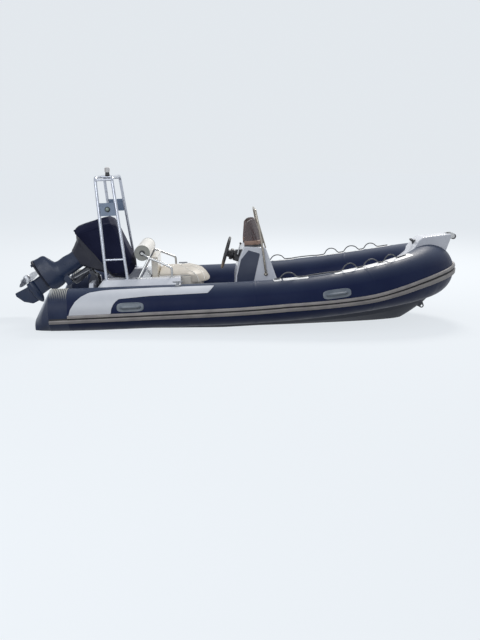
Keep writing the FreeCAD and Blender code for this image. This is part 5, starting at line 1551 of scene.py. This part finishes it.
# The bow roller: a waisted roller moulded in black rubber. It sits between the cheeks of its
# bracket and turns freely on the pin.
waist = np.linspace(-1, 1, 17)
roller_line = [(-0.040, 0.0073), (-0.040, 0.0335), (-0.0385, 0.036), (-0.031, 0.036)]
roller_line += [(0.029 * share, 0.0215 + 0.0135 * abs(share) ** 2.2) for share in waist]
roller_line += [(0.031, 0.036), (0.0385, 0.036), (0.040, 0.0335), (0.040, 0.0073)]
built("roller", [turned(roller_line, ROLLER_HEART, (0, 1, 0), steps=56)], black_rubber,
      body="bow_roller", replaces=["bow_roller"], sharp=50)


# The bow cleat: a dark cast post with a cross bar near its head. Its round base is bolted to
# the platform's slope.
cast_grey = weathered("cast_fitting", (0.085, 0.090, 0.100), (0.21, 0.21, 0.22), 0.42, 16.0, (0.5, 0.8),
                      grain=(160.0, 3.0, 0.2, 0.0006), metallic=0.4)
CLEAT_FOOT = np.array([4.703, 0.0, 0.855])
CLEAT_AWAY = np.array([-0.793, 0.0, 0.609])
post_line = [(-0.010, 0.034), (0.006, 0.034), (0.012, 0.031), (0.014, 0.024), (0.018, 0.0185),
             (0.030, 0.0162), (0.052, 0.0165), (0.059, 0.0150), (0.062, 0.0105), (0.062, 0.001)]
bar_line = [(-0.058, 0.001), (-0.0578, 0.0060), (-0.056, 0.0088), (-0.030, 0.0088), (0.0, 0.0080),
            (0.030, 0.0088), (0.056, 0.0088), (0.0578, 0.0060), (0.058, 0.001)]
built("bow_post", [turned(post_line, CLEAT_FOOT, CLEAT_AWAY, up=(0, 1, 0)),
                   turned(bar_line, CLEAT_FOOT + CLEAT_AWAY * 0.050, (0, 1, 0), steps=24)],
      cast_grey, replaces=["bow_cleat"], sharp=50)


# The towing eyes: a bored plate that stands square out of the stem, and two bored lugs on
# bolted flanges low on the transom.
def bored_plate(outline, heart, bore, low, high, axis):
    """A flat plate round a bore: the outline is read along rays from the bore's middle."""
    angles = np.linspace(0, 2 * math.pi, 48, endpoint=False)
    rays = np.stack([np.cos(angles), np.sin(angles)], -1)
    corners = np.asarray(outline, float) - heart
    following = np.roll(corners, -1, axis=0)
    edge = following - corners
    cross_ray = rays[:, None, 0] * edge[None, :, 1] - rays[:, None, 1] * edge[None, :, 0]
    cross_ray = np.where(np.abs(cross_ray) < 1e-12, 1e-12, cross_ray)
    reach = (corners[None, :, 0] * edge[None, :, 1] - corners[None, :, 1] * edge[None, :, 0]) / cross_ray
    along = (corners[None, :, 0] * rays[:, None, 1] - corners[None, :, 1] * rays[:, None, 0]) / cross_ray
    good = (reach > 0) & (along >= -1e-9) & (along <= 1 + 1e-9)
    far = np.where(good, reach, 0).max(1)
    thick = high - low
    rings = []
    for radius, rise in ((far, 0.12), (far, 0.88), (far - 0.0012, 1.0), (bore + 0.0012, 1.0),
                         (bore + 0 * far, 0.88), (bore + 0 * far, 0.12), (bore + 0.0012, 0.0),
                         (far - 0.0012, 0.0)):
        flat = heart + rays * np.asarray(radius + 0 * far)[:, None]
        rings.append(np.insert(flat, axis, low + thick * rise, axis=1))
    return lofted(np.array(rings), ring=True)


EYE_FOOT = np.array([4.780, 0.05533])
EYE_AWAY = np.array([0.6167, -0.7873])
EYE_ALONG = np.array([0.7873, 0.6167])
eye_line = [EYE_FOOT + EYE_ALONG * a + EYE_AWAY * d for a, d in
            ((-0.062, -0.024), (-0.040, 0.014), (-0.024, 0.054), (-0.014, 0.0625), (0.0, 0.066),
             (0.014, 0.0625), (0.024, 0.054), (0.040, 0.014), (0.062, -0.024))]
built("stem_eye", [bored_plate(eye_line, EYE_FOOT + EYE_AWAY * 0.040, 0.013, -0.006, 0.006, 1)],
      cast_grey, replaces=["bow_eye"], sharp=35)
eye_parts = []
for side in (-1, 1):
    y = side * 0.360
    lug = [(0.6098, y - 0.034), (0.568, y - 0.028), (0.552, y), (0.568, y + 0.028), (0.6098, y + 0.034)]
    eye_parts.append(bored_plate(rounded_outline(lug, 0.008), np.array([0.576, y]), 0.014,
                                 0.175, 0.185, 2))
    flange = rounded_outline([(y - 0.045, 0.150), (y + 0.045, 0.150), (y + 0.045, 0.210),
                              (y - 0.045, 0.210)], 0.014)
    eye_parts.append(prism(flange, 0.604, 0.6098, 0))
    for dy in (-0.034, 0.034):
        eye_parts.append(turned([(0.0, 0.0062), (0.0025, 0.0060), (0.004, 0.0045), (0.0046, 0.001)],
                                (0.604, y + dy, 0.180), (-1, 0, 0), steps=16))
built("stern_eyes", eye_parts, stainless, replaces=["transom_eyes"], sharp=35)


# The stern cleats: dull grey cast cleats with two horns, one on each tube. Their round bases
# are glued to the tube's crown.
def cleat_parts():
    x, y, z = 1.722, -0.922, 0.549
    base = turned([(-0.003, 0.036), (0.008, 0.036), (0.0125, 0.033), (0.014, 0.026), (0.020, 0.0175),
                   (0.046, 0.015)], (x, y, z), (0, 0, 1), up=(0, 1, 0), steps=36)
    along = np.linspace(-1, 1, 17)
    path = np.stack([x + 0.062 * along, np.full(17, y), z + 0.044 + 0.0015 * along ** 2], -1)
    horn = swept(path, 0.0095 * np.sqrt(np.clip(1.04 - np.abs(along) ** 6, 0.05, 1)), 16)
    return [base, horn]


cleat_grey = weathered("cleat_grey", (0.36, 0.37, 0.39), (0.27, 0.28, 0.30), 0.45, 30.0, metallic=0.35)
built("tube_cleats", both_sides(cleat_parts()), cleat_grey, replaces=["stern_cleats"], sharp=50)


# The clamp bracket: two dark cast cheeks that hook over the transom and are held by their
# screws; their dark colour is partly paint and partly painted shade. The tilt tube joins them at the top.
# Dark paint, partly painted shade: the brackets are darkened for the shade they sit in under the engine.
bracket_paint_and_shade = weathered("bracket_paint_and_shade", (0.040, 0.044, 0.060), (0.095, 0.098, 0.110), 0.4, 14.0,
                          (0.45, 0.78), grain=(200.0, 3.0, 0.15, 0.0006), metallic=0.2)
TILT_HEART = np.array([0.640, 0.0, 0.577])
clamp_line = rounded_outline([(0.610, 0.330), (0.576, 0.345), (0.558, 0.420), (0.570, 0.540),
                              (0.606, 0.603), (0.640, 0.615), (0.674, 0.601), (0.697, 0.530),
                              (0.691, 0.440), (0.6652, 0.440), (0.6652, 0.5402), (0.6098, 0.5402)],
                             0.006, 4)
clamp_parts = both_sides([
    prism(clamp_line, -0.117, -0.091, 1),
    turned([(0.0, 0.011), (0.050, 0.011), (0.052, 0.009), (0.052, 0.001)], (0.665, -0.104, 0.478),
           (1, 0, 0), steps=24),
    turned([(0.040, 0.019), (0.046, 0.020), (0.050, 0.018), (0.052, 0.012)], (0.665, -0.104, 0.478),
           (1, 0, 0), steps=24)])
clamp_parts.append(turned([(-0.124, 0.001), (-0.124, 0.013), (-0.122, 0.015), (0.122, 0.015),
                           (0.124, 0.013), (0.124, 0.001)], TILT_HEART, (0, 1, 0), steps=32))
rounded(built("clamp_cheeks", clamp_parts, bracket_paint_and_shade, replaces=["clamp_bracket"], sharp=180), 0.0025, segments=2, angle=40)


# The swivel bracket: a cast knuckle on the tilt tube, two arms, and a deep housing round the
# steering tube that closes the space in front of the leg.
TILT_REST = math.radians(58.0)
STEER_U = -0.130


def hung(points):
    """Upright engine frame (aft-fore, athwart, up from the tilt tube) to the boat, tilted up."""
    points = np.asarray(points, float)
    u, y, w = points[..., 0], points[..., 1], points[..., 2]
    x = TILT_HEART[0] + u * math.cos(TILT_REST) + w * math.sin(TILT_REST)
    z = TILT_HEART[2] - u * math.sin(TILT_REST) + w * math.cos(TILT_REST)
    return np.stack([x, y, z], -1)


def hung_part(part):
    return hung(part[0]), part[1]


def housing_part():
    """Rings round the steering tube: round behind, where the leg swings, and square in front."""
    around = np.radians(np.linspace(-90, 90, 13))
    rings = []
    # height, reach in front, half-width
    for w, fore, half in ((0.040, 0.030, 0.034), (0.036, 0.040, 0.040), (0.022, 0.056, 0.050),
                          (-0.020, 0.060, 0.056), (-0.130, 0.066, 0.060), (-0.165, 0.079, 0.062),
                          (-0.232, 0.080, 0.062), (-0.252, 0.070, 0.054), (-0.258, 0.058, 0.044)):
        back = np.stack([STEER_U - 0.035 * np.cos(around), 0.035 * np.sin(around)], -1)
        front = [(STEER_U + fore * 0.55, half), (STEER_U + fore - 0.010, half * 0.92),
                 (STEER_U + fore, half * 0.6), (STEER_U + fore, -half * 0.6),
                 (STEER_U + fore - 0.010, -half * 0.92), (STEER_U + fore * 0.55, -half)]
        rings.append(np.insert(np.concatenate([back, front]), 2, w, axis=1))
    return lofted(rings)


sleeve_line = [(-0.082, 0.0155), (-0.082, 0.027), (-0.080, 0.029), (0.080, 0.029), (0.082, 0.027),
               (0.082, 0.0155)]
arm = rounded_outline([(0.022, -0.076), (0.022, -0.050), (-0.095, -0.030), (-0.130, -0.040),
                       (-0.095, -0.062)], 0.008, 4)
swivel_parts = [hung_part(housing_part()), turned(sleeve_line, TILT_HEART, (0, 1, 0), steps=36)]
swivel_parts += [hung_part(part) for part in both_sides([prism(arm, -0.026, 0.026, 2)])]
lug = rounded_outline([(-0.020, -0.056), (0.020, -0.056), (0.014, -0.083), (-0.014, -0.083)], 0.006, 4)
swivel_parts += [hung_part(prism(lug + np.array([u, 0]), w - 0.012, w + 0.012, 2))
                 for u, w in ((-0.133, -0.228), (-0.106, 0.012))]
rounded(built("swivel_knuckle", swivel_parts, bracket_paint_and_shade, body="swivel_bracket",
              replaces=["swivel_bracket"], sharp=180), 0.003, segments=2, angle=40)
bare_steel = weathered("bare_steel", (0.40, 0.41, 0.43), (0.16, 0.16, 0.17), 0.42, 22.0, (0.45, 0.7),
                       metallic=0.6)
built("side_rod", [hung_part(swept(np.array([(-0.134, -0.0755, -0.252), (-0.119, -0.0755, -0.10),
                                             (-0.103, -0.0755, 0.032)]), 0.0068, 16))],
      bare_steel, body="swivel_bracket")


# The outboard's leg: a streamlined casting from the apron down to the gearcase, with the
# anti-ventilation plate over the propeller, a trim tab and the skeg.
def leg_section(rear, fore, half):
    """A symmetric blade-like section: round fore edge, full middle, lean rear edge."""
    a = np.linspace(0, math.pi, 21)
    run = (1 + np.cos(a)) / 2
    wide = half * np.clip(1.06 * np.sin(a) ** 0.75 * (1 - 0.42 * np.clip(1 - run, 0, 1) ** 2.2), 0, 1)
    u = rear + (fore - rear) * run
    upper = np.stack([u, wide], -1)
    lower = np.stack([u, -wide], -1)[::-1]
    return np.concatenate([upper, lower[1:-1]])


# rear, fore, half-width, height
LEG_ROWS = np.array(((-0.468, -0.192, 0.084, 0.020), (-0.430, -0.190, 0.076, -0.040),
                     (-0.428, -0.187, 0.068, -0.200), (-0.430, -0.186, 0.063, -0.304),
                     (-0.436, -0.180, 0.063, -0.320), (-0.500, -0.150, 0.066, -0.352),
                     (-0.572, -0.138, 0.071, -0.388), (-0.582, -0.136, 0.072, -0.402),
                     (-0.592, -0.136, 0.078, -0.470), (-0.601, -0.145, 0.083, -0.5385)))


def leg_parts():
    """Rings between the rows of the table, eased in height."""
    w = np.sort(np.concatenate([np.linspace(LEG_ROWS[0, 3], LEG_ROWS[-1, 3], 40),
                                LEG_ROWS[1:-1, 3]]))[::-1]
    sizes = eased(-LEG_ROWS[:, 3], LEG_ROWS[:, :3], -w)
    rings = [np.insert(leg_section(*row), 2, height, axis=1) for row, height in zip(sizes, w)]
    low = np.linspace(-0.551, -0.735, 12)
    strut = []
    for height in low:
        share = (height + 0.540) / -0.195
        strut.append(np.insert(leg_section(-0.400 + 0.004 * share, -0.190 + 0.005 * share,
                                           0.031 - 0.003 * share + 0.010 * math.exp(-share * 14)),
                               2, height, axis=1))
    mount = rounded_outline([(-0.238, -0.044), (-0.112, -0.054), (-0.084, -0.040), (-0.084, 0.040),
                             (-0.112, 0.054), (-0.238, 0.044)], 0.014, 5)
    return [lofted(rings), lofted(strut), prism(mount, -0.345, -0.270, 2)]


def drawn_in(outline, heart, rows, axis):
    """The outline drawn in about a point, one ring to each row of share and place on the axis."""
    outline = np.asarray(outline, float)
    return lofted([np.insert(heart + (outline - heart) * share, axis, value, axis=1)
                   for share, value in rows])


def plate_part():
    """The anti-ventilation plate: a rounded leaf, thin at its edge."""
    outline = rounded_outline([(-0.606, -0.050), (-0.590, -0.090), (-0.420, -0.110), (-0.230, -0.086),
                               (-0.180, 0.0), (-0.230, 0.086), (-0.420, 0.110), (-0.590, 0.090),
                               (-0.606, 0.050)], 0.03, 6)
    return drawn_in(outline, np.array([-0.40, 0.0]), ((0.96, -0.5600), (0.99, -0.5575), (1.0, -0.5520),
                                                      (1.0, -0.5440), (0.99, -0.5400), (0.96, -0.5380)), 2)


def blade_plate(outline, thick):
    """A flat fin with thinned edges from its side outline (aft-fore, height)."""
    return drawn_in(outline, outline.mean(0), ((0.94, -thick), (0.985, -thick * 0.72), (1.0, 0.0),
                                               (0.985, thick * 0.72), (0.94, thick)), 1)


PROP_W = -0.733
gearcase_line = [(-0.4035, 0.046), (-0.402, 0.050), (-0.370, 0.0575), (-0.330, 0.0618), (-0.275, 0.0620),
                 (-0.220, 0.0580), (-0.180, 0.0490), (-0.145, 0.0370), (-0.120, 0.0220),
                 (-0.108, 0.0110), (-0.104, 0.001)]
gearcase = turned(gearcase_line, (0, 0, PROP_W), (1, 0, 0))
skeg = blade_plate(rounded_outline([(-0.372, -0.745), (-0.371, -0.815), (-0.390, -0.972),
                                    (-0.350, -0.982), (-0.240, -0.942), (-0.158, -0.858),
                                    (-0.142, -0.745)], 0.014, 5), 0.006)
tab = blade_plate(rounded_outline([(-0.588, -0.549), (-0.530, -0.549), (-0.540, -0.604),
                                   (-0.572, -0.600)], 0.006, 4), 0.007)
engine_paint = weathered("engine_paint", (0.020, 0.036, 0.082), (0.032, 0.046, 0.092), 0.38, 5.0,
                         grain=(110.0, 3.0, 0.08, 0.0006), gloss=(14.0, 6.0, 0.35, 0.7, 0.24, 0.46),
                         coat=0.1, specular=0.35)
leg_shapes = leg_parts() + [gearcase, skeg, tab]
built("leg", [hung_part(part) for part in leg_shapes], engine_paint, body="outboard",
      replaces=["outboard_leg"], sharp=40)
# Painted shade: the plate takes a darker copy of the leg's navy paint, as it lies in shade.
shaded_plate_paint = weathered("shaded_plate_paint", (0.010, 0.013, 0.028), (0.024, 0.027, 0.042), 0.5, 9.0,
                         grain=(160.0, 3.0, 0.12, 0.0006), specular=0.3)
built("splash_plate", [hung_part(plate_part())], shaded_plate_paint, body="outboard", sharp=40)
shaft = turned([(-0.400, 0.012), (-0.503, 0.012), (-0.505, 0.010), (-0.505, 0.001)], (0, 0, PROP_W),
               (1, 0, 0), steps=28)
steer_bar = turned([(-0.320, 0.018), (0.064, 0.018)], (-0.130, 0, 0), (0, 0, 1), up=(0, 1, 0), steps=28)
yoke = rounded_outline([(-0.230, -0.034), (-0.106, -0.034), (-0.106, 0.034), (-0.230, 0.034)], 0.012)
built("leg_steel", [hung_part(part) for part in (shaft, steer_bar, prism(yoke, -0.324, -0.272, 2))],
      bracket_paint_and_shade, body="outboard", sharp=40)


# The apron: the moulded tray under the powerhead that narrows down to the leg, grey-brown,
# with a rounded lip where the hood sits on it.
def cowl_ring(rear, fore, half, corner, inset=0.0, bend=0.05):
    """A rounded eight-sided section in the plane from its rear point to its fore point."""
    rear = np.array([rear[0], 0.0, rear[1]])
    fore = np.array([fore[0], 0.0, fore[1]])
    length = np.linalg.norm(fore - rear)
    along = (fore - rear) / length
    start, end, wide = inset, length - inset, half - inset
    flat = [(start, wide - corner), (start + corner, wide), (end - corner, wide), (end, wide - corner),
            (end, -wide + corner), (end - corner, -wide), (start + corner, -wide),
            (start, -wide + corner)]
    flat = np.asarray(flat)
    middle = (flat[-1] + flat[0]) / 2
    line = round_corners(np.concatenate([[middle], flat, [middle]]), bend, 7)[:-1]
    following = np.roll(line, -1, axis=0)
    share = np.linspace(0, 1, 5)[:-1][None, :, None]
    fine = (line[:, None] + (following - line)[:, None] * share).reshape(-1, 2)
    across = np.array([0.0, 1.0, 0.0])
    return rear + fine[:, :1] * along + fine[:, 1:] * across


def necked(start, end, rows):
    """Rings from one outline to the next, one to each row: share of the way down, swell."""
    rings = []
    for share, swell in rows:
        ring = start + (end - start) * share
        heart = ring.mean(0)
        rings.append(heart + (ring - heart) * np.array([swell, swell, 1.0]))
    return rings


apron_paint = weathered("apron_paint", (0.026, 0.028, 0.046), (0.042, 0.043, 0.060), 0.40, 6.0,
                        grain=(260.0, 3.0, 0.12, 0.0006), coat=0.05, specular=0.3)
apron_top = cowl_ring((-0.602, 0.146), (0.138, 0.238), 0.206, 0.070, 0.010)
apron_low = cowl_ring((-0.508, 0.086), (-0.036, 0.080), 0.128, 0.042, 0.0, 0.03)
apron_neck = cowl_ring((-0.432, -0.048), (-0.196, -0.052), 0.080, 0.036, 0.0, 0.03)
apron_rings = necked(apron_top, apron_low, (
    (0.0, 0.97), (0.0, 1.0), (0.06, 1.004), (0.12, 1.0), (0.15, 0.985), (0.30, 0.99), (0.50, 1.0),
    (0.70, 1.005), (0.86, 1.0), (0.95, 0.995), (1.0, 0.99)))
apron_rings += necked(apron_low, apron_neck, (
    (0.25, 0.985), (0.50, 0.975), (0.75, 0.98), (0.93, 1.0), (0.985, 1.0), (1.0, 0.96)))
built("apron", [hung_part(lofted(apron_rings))], apron_paint, body="outboard",
      replaces=["lower_cowl"], sharp=32)
finish(["engine_block"], weathered("engine_block", (0.035, 0.036, 0.042), (0.06, 0.06, 0.065), 0.5, 8.0))


# The engine's cover: a fitted hood of navy canvas drawn tight round the apron's lip by a cord
# in its hem, so that it hangs in soft folds and puckers in small scallops below.
# rear point, fore point, half-width, corner
HOOD_ROWS = (((-0.612, 0.140), (0.146, 0.236), 0.210, 0.070),
             ((-0.629, 0.192), (0.205, 0.300), 0.226, 0.080),
             ((-0.566, 0.430), (0.222, 0.360), 0.226, 0.085),
             ((-0.512, 0.580), (0.178, 0.500), 0.205, 0.085),
             ((-0.460, 0.622), (0.118, 0.540), 0.160, 0.080))


def hood_rings():
    """Rings eased between the rows, then drawn in over the crown; folds push the cloth out."""
    rows = np.array([cowl_ring(*row) for row in HOOD_ROWS])
    known = np.array([0.0, 0.13, 0.46, 0.86, 1.0])
    heights = np.concatenate([np.linspace(0, 0.13, 16), np.linspace(0.15, 0.86, 34),
                              np.linspace(0.875, 1.0, 8)])
    i = np.clip(np.searchsorted(known, heights) - 1, 0, 3)
    t = ((heights - known[i]) / (known[i + 1] - known[i]))[:, None, None]
    straight = rows[i] * (1 - t) + rows[i + 1] * t
    full = eased(known, rows.reshape(5, -1), heights).reshape(len(heights), -1, 3)
    body = straight * 0.7 + full * 0.3
    crown = []
    top = rows[-1]
    heart = top.mean(0)
    lift = np.array([0.14, 0.0, 0.99]) * 0.012
    for share in np.linspace(0.965, 0.02, 16):
        crown.append(heart + (top - heart) * share + lift * (1 - share ** 3))
    rings = np.concatenate([body, crown])
    count = rings.shape[1]
    a = np.linspace(0, 2 * math.pi, count, endpoint=False)[None, :]
    level = np.concatenate([heights, np.full(16, 1.0)])[:, None]
    centre = rings.mean(1, keepdims=True)
    outward = rings - centre
    outward /= np.linalg.norm(outward, axis=2, keepdims=True)
    slack = np.sin(np.clip(level, 0, 1) * math.pi) ** 0.7
    folds = (0.0036 * np.sin(a * 7 + 5.0 * level + 0.8 * np.sin(a * 3))
             + 0.0026 * np.sin(a * 12 - 7.0 * level + 1.3 * np.sin(a * 5 + 1.0)))
    crease = 0.0040 * np.clip(np.sin(a * 4 + 11.0 * level + np.sin(a * 2) * 2.0), 0, 1) ** 5
    pucker = np.exp(-level / 0.030) * 0.0034 * np.sin(a * 44 + 1.5 * np.sin(a * 5))
    push = 0.0025 + slack * (folds + crease) + pucker
    push[-16:] *= np.linspace(0.6, 0.0, 16)[:, None]
    rings = rings + outward * push[..., None]
    drop = np.exp(-level / 0.012) * (0.005 + 0.0045 * np.cos(a * 22 + 1.2 * np.sin(a * 4)))
    rings[..., 2] -= drop
    return rings


navy_canvas = weathered("cover_fabric", (0.0075, 0.0095, 0.034), (0.014, 0.017, 0.048), 0.75, 4.0,
                        (0.38, 0.72), threads=(210.0, 0.18, 0.0006), sheen=0.06, specular=0.15)
rings = hood_rings()
inner_rings = rings[:6][::-1].copy()
inner_heart = inner_rings.mean(1, keepdims=True)
inner_rings = inner_heart + (inner_rings - inner_heart) * 0.988
hood_points, hood_faces = lofted(np.concatenate([inner_rings, rings]), capped=False)
last = len(inner_rings) + len(rings) - 1
columns = rings.shape[1]
hood_faces.append(tuple(range(last * columns, (last + 1) * columns)))
hood = built("engine_hood", [hung_part((hood_points, hood_faces))], navy_canvas, body="outboard",
             replaces=["cowl_cover"], sharp=70)
hem = rings[1] + (rings[1] - rings[1].mean(0)) * 0.004
hem = np.concatenate([hem, hem[:1]])
hem_cord = built("hood_hem", [swept(hung(hem), 0.0042, 8)], navy_canvas, body="outboard")


# The propeller: three blades cast in steel in one piece with a barrel hub, each twisted to the
# same pitch from root to tip. It sits on the gearcase's shaft.
def blade_part(turn_degrees):
    """Lens-shaped sections from root to tip, each twisted to the pitch at its radius."""
    known = np.array([(0.030, 0.062, 0.0125), (0.055, 0.096, 0.0105), (0.080, 0.120, 0.0088),
                      (0.110, 0.134, 0.0070), (0.135, 0.126, 0.0054), (0.152, 0.100, 0.0042),
                      (0.162, 0.062, 0.0032), (0.166, 0.018, 0.0024)])
    radius = np.concatenate([np.linspace(0.030, 0.150, 14), [0.1545, 0.1585, 0.1618, 0.1642, 0.166]])
    chord, thick = eased(known[:, 0], known[:, 1:], radius).T
    pitch = np.arctan2(0.480, 2 * math.pi * radius)
    a = np.linspace(0, 2 * math.pi, 24, endpoint=False)[None, :]
    s = np.cos(a) * 0.5
    t = np.sin(a) * 0.5 * (1 - 0.35 * np.cos(a)) + 0.35 * (0.25 - s ** 2)
    along = s * chord[:, None]
    across = t * thick[:, None]
    lie = pitch[:, None]
    u = -0.447 - np.sin(lie) * along + np.cos(lie) * across
    y = np.cos(lie) * along + np.sin(lie) * across
    height = np.sqrt(np.clip(radius[:, None] ** 2 - y ** 2 * 0.55, 1e-6, None))
    turn = math.radians(turn_degrees)
    points = np.stack([u, y * math.cos(turn) - height * math.sin(turn),
                       y * math.sin(turn) + height * math.cos(turn) + PROP_W], -1)
    return lofted(points)


prop_steel = polished("propeller_steel", (0.62, 0.63, 0.66), 0.38)
barrel = turned([(-0.4090, 0.0123), (-0.4090, 0.041), (-0.4105, 0.0428), (-0.440, 0.0458),
                 (-0.470, 0.0445), (-0.4965, 0.0402), (-0.4985, 0.0385), (-0.4990, 0.0275),
                 (-0.5050, 0.024), (-0.506, 0.0125)], (0, 0, PROP_W), (1, 0, 0))
built("screw", [hung_part(part) for part in [barrel] + [blade_part(i * 120) for i in range(3)]],
      prop_steel, body="propeller", replaces=["propeller"], sharp=45)
